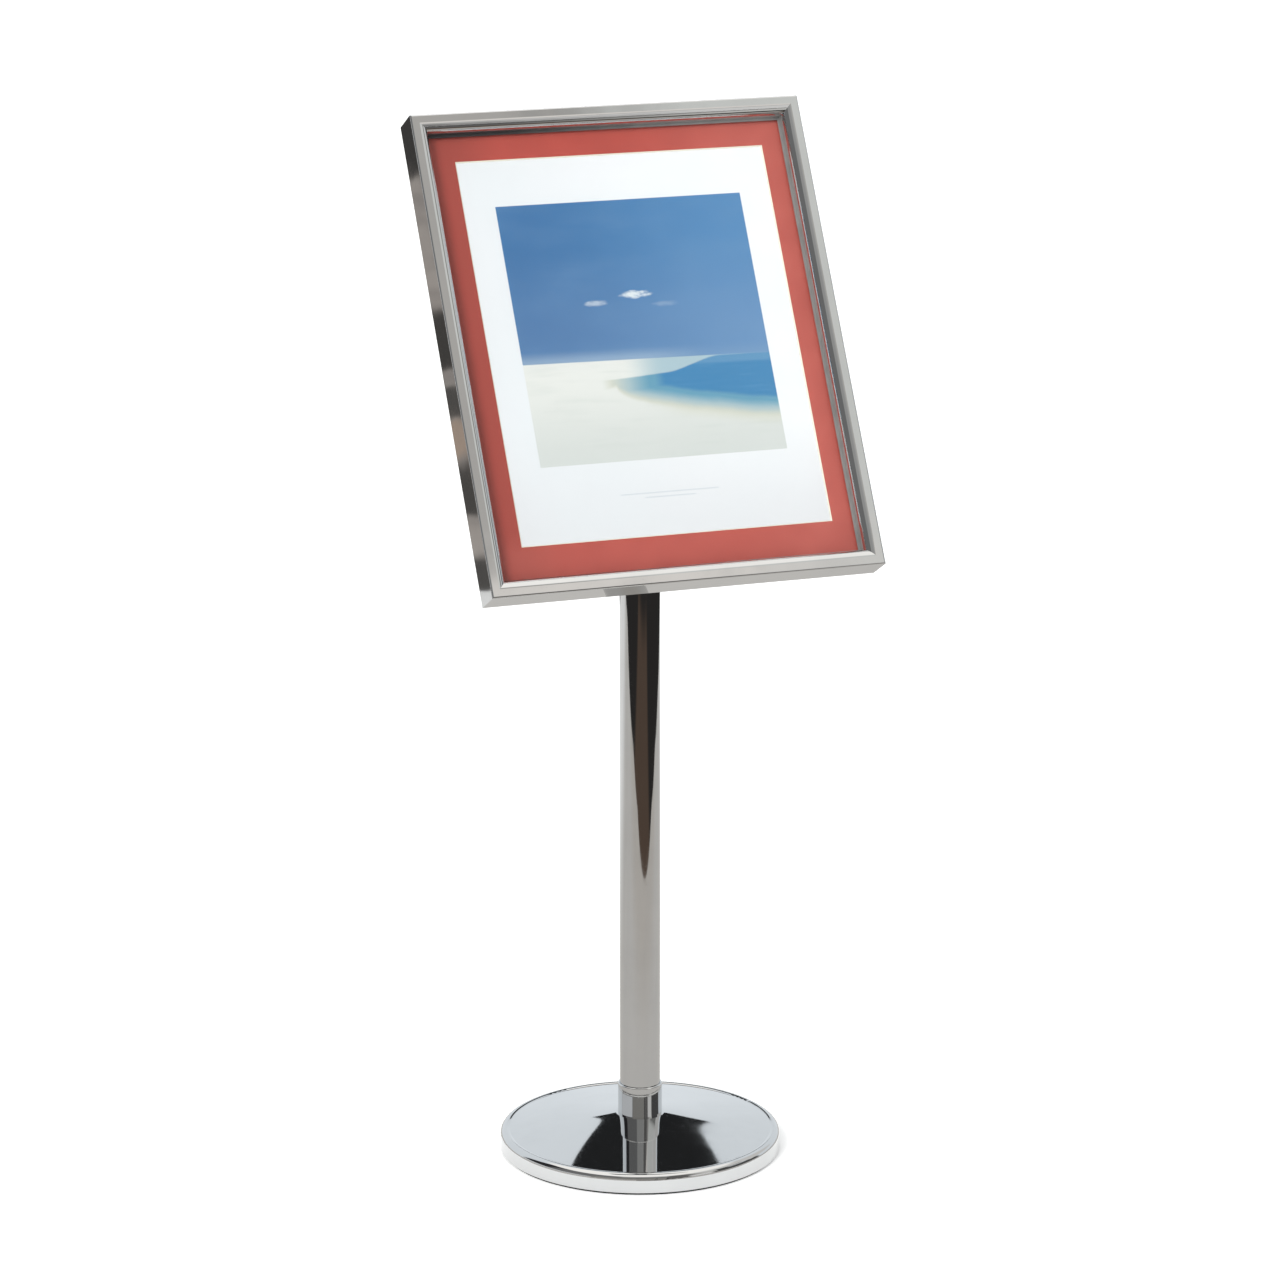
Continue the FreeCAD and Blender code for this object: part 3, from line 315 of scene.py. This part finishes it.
def grey_panel(name):
    """Painted hardboard: roller stipple, light scuffs, and broad changes of tone."""
    finish = Finish(name)
    place = finish.mapped(turn=IN_FRAME)
    stipple = finish.noise(380, 4, 0.65, place)
    tone = finish.noise(5, 5, 0.6, place)
    scuffs = finish.noise(26, 5, 0.75, finish.mapped(place, turn=(0, 0.5, 0), scale=(0.12, 1, 1.6)))
    worn = finish.span(scuffs, 0.66, 0.78)
    paint = finish.mix(finish.span(tone, 0.3, 0.7), srgb(104, 107, 110), srgb(118, 121, 123))
    finish.set(
        Base_Color=finish.mix(finish.math("MULTIPLY", worn, 0.45), paint, srgb(158, 160, 160)),
        Roughness=finish.math("ADD", finish.span(stipple, 0.3, 0.7, 0.44, 0.6),
                              finish.math("MULTIPLY", worn, 0.12)),
        Normal=finish.bump(stipple, 0.09 * MM),
    )
    return finish.material


def white_board(name):
    """Paper-faced foam board."""
    finish = Finish(name)
    fuzz = finish.noise(900, 3, 0.6)
    tone = finish.noise(12, 4, 0.6)
    finish.set(
        Base_Color=finish.mix(finish.span(tone, 0.3, 0.7), srgb(232, 231, 226), srgb(222, 221, 215)),
        Roughness=finish.span(fuzz, 0.3, 0.7, 0.78, 0.9),
        Normal=finish.bump(fuzz, 0.03 * MM),
    )
    return finish.material


def clear_acrylic(name):
    """Clear sheet over the poster: lets light straight through and mirrors a little of the room."""
    mirrored_head_on = 0.0123
    finish = Finish(name)
    smears = finish.noise(7, 4, 0.7, finish.mapped(scale=(1, 1, 0.4)))
    clear = finish.node("BsdfTransparent", Color=(0.965, 0.975, 0.972, 1)).outputs["BSDF"]
    gloss = finish.node("BsdfGlossy", Roughness=finish.span(smears, 0.45, 0.8, 0.02, 0.09),
                        Color=(1, 1, 1, 1)).outputs["BSDF"]
    glancing = finish.math("POWER", finish.node("LayerWeight", Blend=0.5).outputs["Facing"], 5)
    pane = finish.node("MixShader")
    finish.link(finish.span(glancing, 0, 1, mirrored_head_on, 1, smooth=False), pane.inputs[0])
    finish.link(clear, pane.inputs[1])
    finish.link(gloss, pane.inputs[2])
    finish.resurface(pane.outputs[0])
    return finish.material


# ------------------------------------------------------------------ what the frame shows

SHEET_LOW, SHEET_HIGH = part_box("poster_sheet")
SHEET_CENTRE = (SHEET_LOW + SHEET_HIGH) / 2

# the print on the poster, in metres across and up from the poster's centre
PRINT_LEFT, PRINT_RIGHT, PRINT_BOTTOM, PRINT_TOP = -0.160, 0.161, -0.148, 0.185
PRINT_EDGE = 0.0004
HORIZON, HORIZON_SLOPE = -0.0206, -0.015

# its clouds: across, up, half width, half height, brightness
CLOUDS = (
    (0.0002, 0.0622, 0.022, 0.0062, 0.95),
    (-0.0538, 0.0540, 0.018, 0.0048, 0.5),
    (0.0373, 0.0482, 0.020, 0.0040, 0.16),
)

# its bay: the tip, from there to the right edge, and the shores' heights at the tip
BAY_TIP, BAY_LENGTH, FAR_SHORE, NEAR_SHORE = -0.045, 0.202, -0.0445, -0.054

# the bay's water: how far in from the shore each colour is reached
WATERS = (
    (0.002, (210, 210, 199)),
    (0.006, (193, 201, 198)),
    (0.010, (169, 190, 197)),
    (0.015, (136, 173, 190)),
    (0.020, (102, 157, 184)),
    (0.028, (64, 132, 181)),
)

# two faint rules below the print: height and half length
RULES = ((-0.1900, 0.065), (-0.1955, 0.034))


def frame_place(finish, centre):
    """Metres across (x), back (y) and up (z) in the frame from a centre, whatever its lean."""
    shifted = finish.mapped(shift=tuple(-c for c in centre))
    return finish.mapped(shifted, turn=IN_FRAME)


def red_mat(name):
    """Brick-red mat board with a felt-like face, and its cream core where the window is bevelled.
    Painted shade darkens it at the left; painted light brightens it at the right and the bottom.
    """
    finish = Finish(name)
    place = frame_place(finish, SHEET_CENTRE)
    parts = finish.node("SeparateXYZ", Vector=place)
    across, up = parts.outputs["X"], parts.outputs["Z"]
    facing = finish.alignment(finish.node("TexCoord").outputs["Normal"], FRAME_FRONT)
    core = finish.math("MULTIPLY", finish.span(facing, 0.4, 0.5), finish.span(facing, 0.95, 0.85))
    fibres = finish.noise(650, 4, 0.7, finish.mapped(place, scale=(1, 1, 0.6)))
    tone = finish.noise(14, 4, 0.55, place)
    # painted shade and light: darker at the left, where the left rail shades the mat, paler at the
    # right and along the bottom
    red = finish.mix(finish.span(across, -0.205, -0.13), srgb(166, 71, 62), srgb(191, 79, 69))
    red = finish.mix(finish.span(across, 0.02, 0.2), red, srgb(200, 97, 87))
    red = finish.mix(finish.span(up, -0.22, -0.26, 0, 0.4), red, srgb(190, 96, 87))
    red = finish.mix(finish.span(tone, 0.3, 0.7, 0, 0.4), red, srgb(172, 72, 64))
    flecked = finish.mix(finish.span(fibres, 0.62, 0.8, 0, 0.35), red, srgb(206, 110, 98))
    finish.set(
        Base_Color=finish.mix(core, flecked, srgb(236, 230, 214)),
        Roughness=finish.span(fibres, 0.3, 0.7, 0.78, 0.92),
        Normal=finish.bump(fibres, 0.06 * MM),
        Sheen_Weight=0.15,
        Sheen_Roughness=0.5,
    )
    return finish.material


def printed_sky(finish, place, across, up, high):
    """A blue sky, deepest at the top left, with haze on the horizon and small clouds."""
    from_left = finish.span(across, PRINT_LEFT, PRINT_RIGHT)
    low = finish.mix(from_left, srgb(77, 119, 168), srgb(102, 143, 188))
    deep = finish.mix(from_left, srgb(56, 110, 163), srgb(78, 133, 184))
    sky = finish.mix(finish.span(high, 0.03, 0.17), low, deep)
    drift = finish.noise(14, 5, 0.55, finish.mapped(place, scale=(0.6, 1, 1.6)))
    sky = finish.mix(finish.span(drift, 0.35, 0.75, 0, 0.18), sky, srgb(120, 158, 196))
    haze = finish.math("MULTIPLY", finish.span(high, 0.017, 0.0),
                       finish.span(across, 0.09, -0.01, 0.1, 0.5))
    sky = finish.mix(haze, sky, srgb(176, 194, 212))

    puffs = finish.noise(130, 4, 0.6, finish.mapped(place, scale=(0.7, 1, 1.8)))
    ragged = finish.math("MULTIPLY", finish.math("SUBTRACT", puffs, 0.5), 2.4)
    for cloud_across, cloud_up, half_wide, half_tall, bright in CLOUDS:
        x = finish.math("DIVIDE", finish.math("SUBTRACT", across, cloud_across), half_wide)
        z = finish.math("DIVIDE", finish.math("SUBTRACT", up, cloud_up), half_tall)
        far = finish.math("ADD", finish.math("MULTIPLY", x, x), finish.math("MULTIPLY", z, z))
        body = finish.math("ADD", finish.math("SUBTRACT", 1.0, far), ragged)
        sky = finish.mix(finish.span(body, 0.0, 1.1, 0, bright), sky, srgb(232, 236, 240))
    return sky


def printed_shore(finish, place, across, up, high):
    """Pale sand round a bay, a wedge that opens to the right and meets the sky there."""
    ripples = finish.noise(55, 5, 0.6,
                           finish.mapped(place, turn=(0, -0.1, 0), scale=(0.25, 1, 2.2)))
    sand = finish.mix(finish.span(high, -0.13, -0.01), srgb(213, 215, 213), srgb(231, 230, 227))
    sand = finish.mix(finish.span(ripples, 0.45, 0.75, 0, 0.3), sand, srgb(203, 207, 203))

    # how far below the far shore a place is, and how far in from the near shore and the tip
    far_shore = finish.math(
        "ADD",
        finish.span(across, BAY_TIP, 0.022, FAR_SHORE, FAR_SHORE + 0.0045, smooth=False),
        finish.span(across, 0.019, 0.097, 0, 0.0175),
    )
    wandering = finish.math("SUBTRACT", finish.noise(28, 4, 0.6, place), 0.5)
    wobble = finish.math("MULTIPLY", wandering, 0.006)
    below_far = finish.math(
        "SUBTRACT", far_shore, finish.math("ADD", up, finish.math("MULTIPLY", wobble, 0.25)))
    opened = finish.math("DIVIDE", finish.math("SUBTRACT", across, BAY_TIP), BAY_LENGTH, clamp=True)
    drop = finish.math("MULTIPLY", finish.math("POWER", opened, 0.52), 0.052)
    near_shore = finish.math("SUBTRACT", NEAR_SHORE, drop)
    from_near = finish.math("SUBTRACT", finish.math("ADD", up, wobble), near_shore)
    from_tip = finish.math("MULTIPLY", finish.math("SUBTRACT", across, BAY_TIP - 0.01), 0.38)
    reach = finish.math("MINIMUM", from_near, from_tip)

    # the wet sand, then the water out to the deep, paler and choppy in places
    damp = finish.math("MULTIPLY", finish.span(from_near, -0.014, 0.0),
                       finish.span(opened, 0.1, 0.5, 0, 0.5))
    sand = finish.mix(damp, sand, srgb(212, 211, 196))
    sea = sand
    for out, tint in WATERS:
        sea = finish.mix(finish.span(reach, out - 0.005, out, smooth=False), sea, srgb(*tint))
    swell = finish.noise(90, 4, 0.6, finish.mapped(place, scale=(0.2, 1, 3)))
    choppy = finish.math("MULTIPLY", finish.span(swell, 0.5, 0.8, 0, 0.3),
                         finish.span(reach, 0.012, 0.022))
    sea = finish.mix(choppy, sea, srgb(104, 162, 202))
    distant = finish.math("MULTIPLY", finish.span(high, -0.012, -0.008),
                          finish.span(across, 0.03, 0.08, 0, 0.85))
    sea = finish.mix(distant, sea, srgb(98, 150, 190))

    # beyond the far shore, a spit of wet sand
    spit = finish.mix(finish.span(across, -0.035, 0.02), sand, srgb(174, 196, 206))
    beyond = finish.mix(finish.span(below_far, 0.004, -0.001), sand, spit)
    return finish.mix(finish.span(below_far, -0.0012, 0.0012), beyond, sea)


def plain_paper(finish, place, across, up):
    """White paper with the two faint rules; painted shade makes it a little darker at the left and
    the bottom.
    """
    tone = finish.noise(6, 3, 0.5, place)
    # painted shade: darker towards the left and the bottom
    paper = finish.mix(finish.span(across, -0.2, 0.2), srgb(236, 236, 240), srgb(249, 247, 250))
    paper = finish.mix(finish.span(up, -0.08, -0.24, 0, 0.85), paper, srgb(227, 226, 230))
    paper = finish.mix(finish.span(tone, 0.3, 0.7, 0, 0.3), paper, srgb(230, 233, 237))
    from_middle = finish.math("ABSOLUTE", finish.math("ADD", across, 0.001))
    rules = 0.0
    for height, half_long in RULES:
        from_rule = finish.math("ABSOLUTE", finish.math("SUBTRACT", up, height))
        rule = finish.math("MULTIPLY", finish.span(from_middle, half_long, half_long - 0.002),
                           finish.span(from_rule, 0.0011, 0.0006))
        rules = finish.math("ADD", rules, rule)
    return finish.mix(finish.math("MULTIPLY", rules, 0.4, clamp=True), paper, srgb(186, 194, 204))


def poster_paper(name):
    """Satin paper printed with a plain seaside view: sky, small clouds, a bay and pale sand."""
    finish = Finish(name)
    place = frame_place(finish, SHEET_CENTRE)
    parts = finish.node("SeparateXYZ", Vector=place)
    across, up = parts.outputs["X"], parts.outputs["Z"]
    horizon = finish.math("ADD", HORIZON, finish.math("MULTIPLY", across, HORIZON_SLOPE))
    high = finish.math("SUBTRACT", up, horizon)
    view = finish.mix(
        finish.span(high, -0.0006, 0.0006),
        printed_shore(finish, place, across, up, high),
        printed_sky(finish, place, across, up, high),
    )
    printed = finish.math("MULTIPLY", finish.band(across, PRINT_LEFT, PRINT_RIGHT, PRINT_EDGE),
                          finish.band(up, PRINT_BOTTOM, PRINT_TOP, PRINT_EDGE))
    fine = finish.noise(1400, 2, 0.6, place)
    finish.set(
        Base_Color=finish.mix(printed, plain_paper(finish, place, across, up), view),
        Roughness=finish.math("ADD", finish.span(printed, 0, 1, 0.52, 0.38),
                              finish.span(fine, 0.3, 0.7, 0.0, 0.06)),
        Normal=finish.bump(fine, 0.006 * MM),
    )
    return finish.material


# ------------------------------------------------------------------ dressing the CAD nodes

PANE_LOW, PANE_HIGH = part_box("glazing")
PANE_CENTRE = (PANE_LOW + PANE_HIGH) / 2
PANE_SIZE = PANE_HIGH - PANE_LOW

# how thick the glazing is, and the gaps beside it and at its ends
PANE_THICK, SIDE_GAP, END_GAP = 2.5 * MM, 0.75 * MM, 0.3 * MM
PANE_TALL = (PANE_SIZE.z - PANE_THICK * math.sin(TILT)) / math.cos(TILT)

# the rails' opening, half across and half up, and depths behind the rails' front faces
OPENING_ACROSS = PANE_SIZE.x / 2 + SIDE_GAP
OPENING_UP = PANE_TALL / 2 + END_GAP
PANE_DEPTH, CHANNEL_DEPTH = 21.95 * MM, 11 * MM
SKIN = (0.5 * MM, 0.3 * MM)  # the finish stops between these distances inside the rail's steel


def inner_channel(finish):
    """The rails' inner sides behind their rounded front: unplated satin grey, with painted shade and
    light, nearly black at the left and pale grey at the right.
    """
    place = finish.node("SeparateXYZ", Vector=frame_place(finish, PANE_CENTRE)).outputs
    depth = finish.math("ADD", place["Y"], PANE_DEPTH)
    within = [
        finish.span(finish.math("ABSOLUTE", place[axis]), half + SKIN[0], half + SKIN[1])
        for axis, half in (("X", OPENING_ACROSS), ("Z", OPENING_UP))
    ]
    bare = finish.math("MULTIPLY", finish.math("MULTIPLY", *within),
                       finish.span(depth, CHANNEL_DEPTH - MM, CHANNEL_DEPTH + MM))
    cloudy = finish.span(finish.noise(30, 3, 0.6), 0.3, 0.7)
    # painted shade and light: the inner sides run from nearly black at the left to pale grey at the
    # right
    dark = finish.mix(cloudy, (0.045, 0.045, 0.046, 1), (0.06, 0.06, 0.06, 1))
    pale = finish.mix(cloudy, (0.22, 0.217, 0.212, 1), (0.27, 0.266, 0.26, 1))
    return bare, finish.mix(finish.span(place["X"], -0.16, 0.14), dark, pale)


dress(chrome("base_chrome", 0.05, 0.09), "base_cover")
dress(chrome("post_chrome", 0.03, 0.12, grain=(1, 1, 0.02)),
      "post_tube", "post_collar", "tilt_head")
dress(chrome("rail_chrome_across", 0.2, 0.06, IN_FRAME, (0.02, 1, 1), inner_channel),
      "rail_top", "rail_bottom")
dress(chrome("rail_chrome_up", 0.2, 0.06, IN_FRAME, (1, 1, 0.02), inner_channel),
      "rail_left", "rail_right")
dress(dark_steel("black_oxide"), "pivot_bracket", "cross_bar", "collar_screw", "head_screws")
dress(zinc("bright_zinc"), "base_bolt", "base_washer", "base_lock_washer", "foot_plug",
      "bracket_bolts", "bracket_nuts", "pivot_bolt", "knob_washer", "corner_screws",
      "cross_bar_screws")
dress(cast_iron("cast_iron"), "base_weight")
dress(rubber("rubber"), "floor_pad")
dress(aluminium("drawn_aluminium_across", IN_FRAME), "panel_strip_top", "panel_strip_bottom",
      "strip_rivets", "corner_key_top_left", "corner_key_top_right", "corner_key_bottom_left",
      "corner_key_bottom_right")
dress(aluminium("drawn_aluminium_up", (TILT, math.pi / 2, 0)), "panel_strip_left",
      "panel_strip_right")
dress(grey_panel("grey_panel"), "back_panel")
dress(fibre("fibre"), "friction_washer_left", "friction_washer_right")
dress(black_plastic("black_plastic"), "clamp_knob", "knob_cap")
dress(brass("brass"), "knob_insert")
dress(clear_acrylic("clear_acrylic"), "glazing")
dress(red_mat("red_mat"), "mat_board")
dress(poster_paper("poster_paper"), "poster_sheet")
dress(white_board("white_board"), "backing_board")


# ------------------------------------------------------------------ studio


# how bright the room is to matt surfaces, how much the floor glows of itself, and the key light
ROOM_LIGHT = (0.70, 0.71, 0.715)
FLOOR_GLOW = 0.34
KEY_FROM = (-3.2, -3.0, 2.9)
KEY_STRENGTH = 1.9
KEY_WIDTH = math.radians(24)

# what chrome sees round it, later ones over earlier ones, as turns from straight behind the stand
# (positive to the right) and heights above the horizon, in degrees:
# from turn, to turn, from height, to height, softness of the edge, colour
STUDIO_LIGHTS = (
    (-52, 120, -2, 60, 3, (0.93, 0.985, 1.03)),
    (-120, -52, -2, 9, 3, (0.80, 0.82, 0.84)),
    (-140, -80, 9, 52, 4, (0.21, 0.21, 0.21)),
    (90, 145, -6, 25, 3, (0.10, 0.10, 0.10)),
    (60, 98, 18.7, 60, 1, (0.80, 0.79, 0.77)),
    (98, 120, 27.9, 60, 1, (0.90, 0.89, 0.87)),
    (150, 178, -12, 29, 3, (0.17, 0.165, 0.16)),
    (140, 160.3, -12, 29, 3, (0.90, 0.89, 0.87)),
    (-182, -120, -6, 25, 4, (0.33, 0.32, 0.30)),
    (112, 151.2, 31, 55, 1.2, (0.86, 0.87, 0.84)),
    (100, 146, 31, 35.9, 0.6, (0.30, 0.30, 0.29)),
    (151.2, 164, 31, 55, 1.2, (0.60, 0.58, 0.55)),
    (149.7, 183, 31, 39.3, 0.5, (0.95, 0.92, 0.88)),
    (151.5, 164, 31, 40.1, 0.5, (1.02, 0.97, 0.92)),
    (164, 183, 31, 55, 3, (0.50, 0.50, 0.49)),
    (-183, -140, 31, 66, 4, (0.42, 0.42, 0.41)),
    (-183, 183, 51, 91, 2.5, (1.35, 1.32, 1.27)),
)


# chrome's darkest gaps, the black card and the two ends of the grey one
DARK_ROOM = (0.035, 0.035, 0.037, 1)
BLACK_CARD = (0.02, 0.021, 0.022, 1)
GREY_CARD = ((0.17, 0.165, 0.16, 1), (0.75, 0.74, 0.71, 1))


def emitter(name, colour):
    finish = Finish(name)
    finish.resurface(finish.node("Emission", Color=colour).outputs[0])
    return finish.material


def sheet_object(name, corners_by_face, material):
    """A stage object of flat four-cornered faces."""
    points = [corner for face in corners_by_face for corner in face]
    faces = [tuple(range(4 * i, 4 * i + 4)) for i in range(len(corners_by_face))]
    mesh = bpy.data.meshes.new(name)
    mesh.from_pydata(points, [], faces)
    mesh.materials.append(material)
    made = bpy.data.objects.new(name, mesh)
    bpy.context.scene.collection.objects.link(made)
    return made


def mirrored_only(made):
    """A card that shows only in reflections, as a flag out of shot does."""
    made.visible_camera = False
    made.visible_diffuse = False
    made.visible_shadow = False
    made.visible_transmission = False


def floor_colour(finish, place):
    """What chrome sees of the studio floor: grey paper in front, white paper behind."""
    near = finish.mix(finish.span(place["Y"], -1.0, -0.2),
                      (0.60, 0.565, 0.52, 1), (0.66, 0.64, 0.61, 1))
    paper = finish.mix(finish.span(place["Y"], 0.55, 1.7), near, (1.0, 1.0, 0.99, 1))
    tone = finish.noise(2.5, 3, 0.5)
    return finish.mix(finish.span(tone, 0.35, 0.7, 0, 0.12), paper, (0.5, 0.5, 0.5, 1))


# strips across the room behind the paper: from, to, colour
ROOM_STRIPS = (
    (2.70, 3.18, (0.10, 0.095, 0.09, 1)),
    (3.52, 4.00, (0.09, 0.085, 0.08, 1)),
    (4.05, 4.42, (0.46, 0.36, 0.29, 1)),
    (4.47, 4.80, (0.10, 0.095, 0.09, 1)),
    (5.02, 5.70, (0.07, 0.066, 0.062, 1)),
    (7.90, 9.30, (0.06, 0.057, 0.055, 1)),
)


def room_colour(finish, place):
    """What chrome sees beyond the paper: a dark room, brown boards in front, strips behind."""
    x, y = place["X"], place["Y"]
    boards = finish.math(
        "MULTIPLY",
        finish.band(x, -1.5, 0.8, 0.2),
        finish.math("MULTIPLY", finish.span(y, -3.0, -2.5), finish.span(y, -0.9, -1.1)),
    )
    room = finish.mix(boards, (0.03, 0.028, 0.027, 1), (0.105, 0.073, 0.055, 1))
    mottle = finish.noise(2.2, 4, 0.6)
    behind = finish.mix(finish.span(mottle, 0.35, 0.65),
                        (0.33, 0.30, 0.28, 1), (0.46, 0.42, 0.385, 1))
    room = finish.mix(finish.span(y, 2.5, 2.7), room, behind)
    ragged = finish.math("MULTIPLY", finish.math("SUBTRACT", mottle, 0.5), 0.3)
    depth = finish.math("ADD", y, ragged)
    for start, end, colour in ROOM_STRIPS:
        room = finish.mix(finish.band(depth, start, end, 0.04), room, colour)
    return room


def grey_card_colour(finish, place):
    return finish.mix(finish.span(place["X"], 0.3, 0.8), *GREY_CARD)


def glowing(name, colouring):
    """A finish that shines with a colour worked out from its place in the studio."""
    finish = Finish(name)
    place = finish.node("SeparateXYZ", Vector=finish.place).outputs
    finish.resurface(finish.node("Emission", Color=colouring(finish, place)).outputs[0])
    return finish.material


# the edge of the studio's paper, going round the stand
PAPER_EDGE = ((0.21, -1.19), (1.16, -1.09), (1.86, -0.58), (2.25, 0.3), (2.35, 1.9), (2.2, 2.9),
              (-2.9, 2.9), (-2.84, 0.31), (-1.66, -1.03), (-0.91, -1.30))


def edge_distance(angle):
    """How far the paper's edge is from the post, at an angle from +X."""
    way = Vector((math.cos(angle), math.sin(angle)))
    for index, start in enumerate(PAPER_EDGE):
        start, end = Vector(start), Vector(PAPER_EDGE[(index + 1) % len(PAPER_EDGE)])
        side = end - start
        across = way.x * side.y - way.y * side.x
        if abs(across) < 1e-9:
            continue
        distance = (start.x * side.y - start.y * side.x) / across
        share = (start.x * way.y - start.y * way.x) / across
        if distance > 0 and 0 <= share <= 1:
            return distance
    raise ValueError("the paper's edge does not go round the stand")


def make_floor():
    """White paper for the camera; chrome sees the paper and the room round it on a sheet above."""
    finish = Finish("floor_paper")
    tone = finish.noise(1.3, 3, 0.5)
    tooth = finish.noise(500, 2, 0.5)
    finish.set(
        Base_Color=finish.mix(finish.span(tone, 0.3, 0.7), srgb(249, 249, 248), srgb(246, 247, 247)),
        Roughness=finish.span(tooth, 0.3, 0.7, 0.75, 0.9),
        Normal=finish.bump(tooth, 0.02 * MM),
        Specular_IOR_Level=0.1,
        Emission_Color=(1, 1, 1, 1),
        Emission_Strength=FLOOR_GLOW,
    )
    half = 40
    corners = [(x, y, FLOOR_HEIGHT)
               for x, y in ((-half, -half), (half, -half), (half, half), (-half, half))]
    sheet_object("floor", [corners], finish.material)

    lift, clear_of_base, far, steps = 2 * MM, 0.24, 25, 72
    angles = [2 * math.pi * step / steps for step in range(steps + 1)]

    def ring(inner, outer):
        faces = []
        for start, end in zip(angles, angles[1:]):
            corners = ((inner, start), (outer, start), (outer, end), (inner, end))
            faces.append([(reach(angle) * math.cos(angle), reach(angle) * math.sin(angle), lift)
                          for reach, angle in corners])
        return faces

    for name, inner, outer, colouring in (
        ("mirrored_paper", lambda angle: clear_of_base, edge_distance, floor_colour),
        ("mirrored_room", edge_distance, lambda angle: far, room_colour),
    ):
        mirrored_only(sheet_object(name, ring(inner, outer), glowing(name, colouring)))


def make_cards():
    """Cards out of shot that show only in chrome: a tall black one behind, a grey one in front."""
    away = Vector((math.sin(VIEW_TURN), math.cos(VIEW_TURN), 0))
    side = Vector((away.y, -away.x, 0))
    behind, left, right, low, high = 1.9, -0.30, 0.34, 0.8, 1.7
    corners = []
    for step, height in ((left, low), (right, low), (right, high), (left, high)):
        corner = behind * away + side * step
        corners.append((corner.x, corner.y, height))
    mirrored_only(sheet_object("tall_flag", [corners], emitter("black_card", BLACK_CARD)))

    left, right, y, low, high = 0.05, 1.1, -1.2, 0.46, 1.1
    corners = [(left, y, low), (right, y, low), (right, y, high), (left, y, high)]
    mirrored_only(sheet_object("grey_card", [corners], glowing("grey_card", grey_card_colour)))


def make_world():
    """White to the camera and soft to matt surfaces; to chrome, bright walls and dark gaps."""
    world = bpy.data.worlds.new("studio")
    bpy.context.scene.world = world
    world.use_nodes = True
    studio = Nodes(world.node_tree)

    directions = studio.node("TexCoord").outputs["Generated"]
    parts = studio.node("SeparateXYZ", Vector=directions)
    x, y, z = (parts.outputs[axis] for axis in "XYZ")
    height = studio.math("ARCSINE", z)
    turn = studio.math("ARCTAN2", x, y)  # 0 straight behind the stand, positive to the right
    colour = DARK_ROOM
    for *edges, light in STUDIO_LIGHTS:
        turn_low, turn_high, low, high, soft = (math.radians(edge) for edge in edges)
        patch = studio.math("MULTIPLY", studio.band(turn, turn_low, turn_high, soft),
                            studio.band(height, low, high, soft))
        colour = studio.mix(patch, colour, (*light, 1))

    rays = studio.node("LightPath").outputs
    plain = studio.mix(rays["Is Camera Ray"], (*ROOM_LIGHT, 1), (1, 1, 1, 1))
    background = studio.node("Background", Color=studio.mix(rays["Is Glossy Ray"], plain, colour))
    output = studio.node("OutputWorld")
    studio.link(background.outputs[0], output.inputs["Surface"])


def make_key():
    """A broad light from the left front, too far off to fade across the paper."""
    data = bpy.data.lights.new("key", "SUN")
    data.energy = KEY_STRENGTH
    data.angle = KEY_WIDTH
    data.color = (1.0, 0.99, 0.97)
    key = bpy.data.objects.new("key", data)
    bpy.context.scene.collection.objects.link(key)
    key.location = KEY_FROM
    key.rotation_euler = (-Vector(KEY_FROM)).to_track_quat("-Z", "Y").to_euler()
    key.visible_glossy = False


# camera: how far it stands from the post, how high, and how far round from straight in front
VIEW_TURN = math.radians(20.99)
VIEW_DISTANCE = 5.7307
VIEW_HEIGHT = 2.1109
VIEW_PITCH = math.radians(14.162)
LENS = 134.06


def make_camera():
    data = bpy.data.cameras.new("camera")
    data.lens = LENS
    data.sensor_width = 36
    data.clip_end = 100
    camera = bpy.data.objects.new("camera", data)
    bpy.context.scene.collection.objects.link(camera)
    camera.location = (-VIEW_DISTANCE * math.sin(VIEW_TURN), -VIEW_DISTANCE * math.cos(VIEW_TURN),
                       VIEW_HEIGHT)
    camera.rotation_euler = (math.pi / 2 - VIEW_PITCH, 0, -VIEW_TURN)
    bpy.context.scene.camera = camera


make_floor()
make_cards()
make_world()
make_key()
make_camera()
bpy.context.scene.view_settings.view_transform = "Standard"
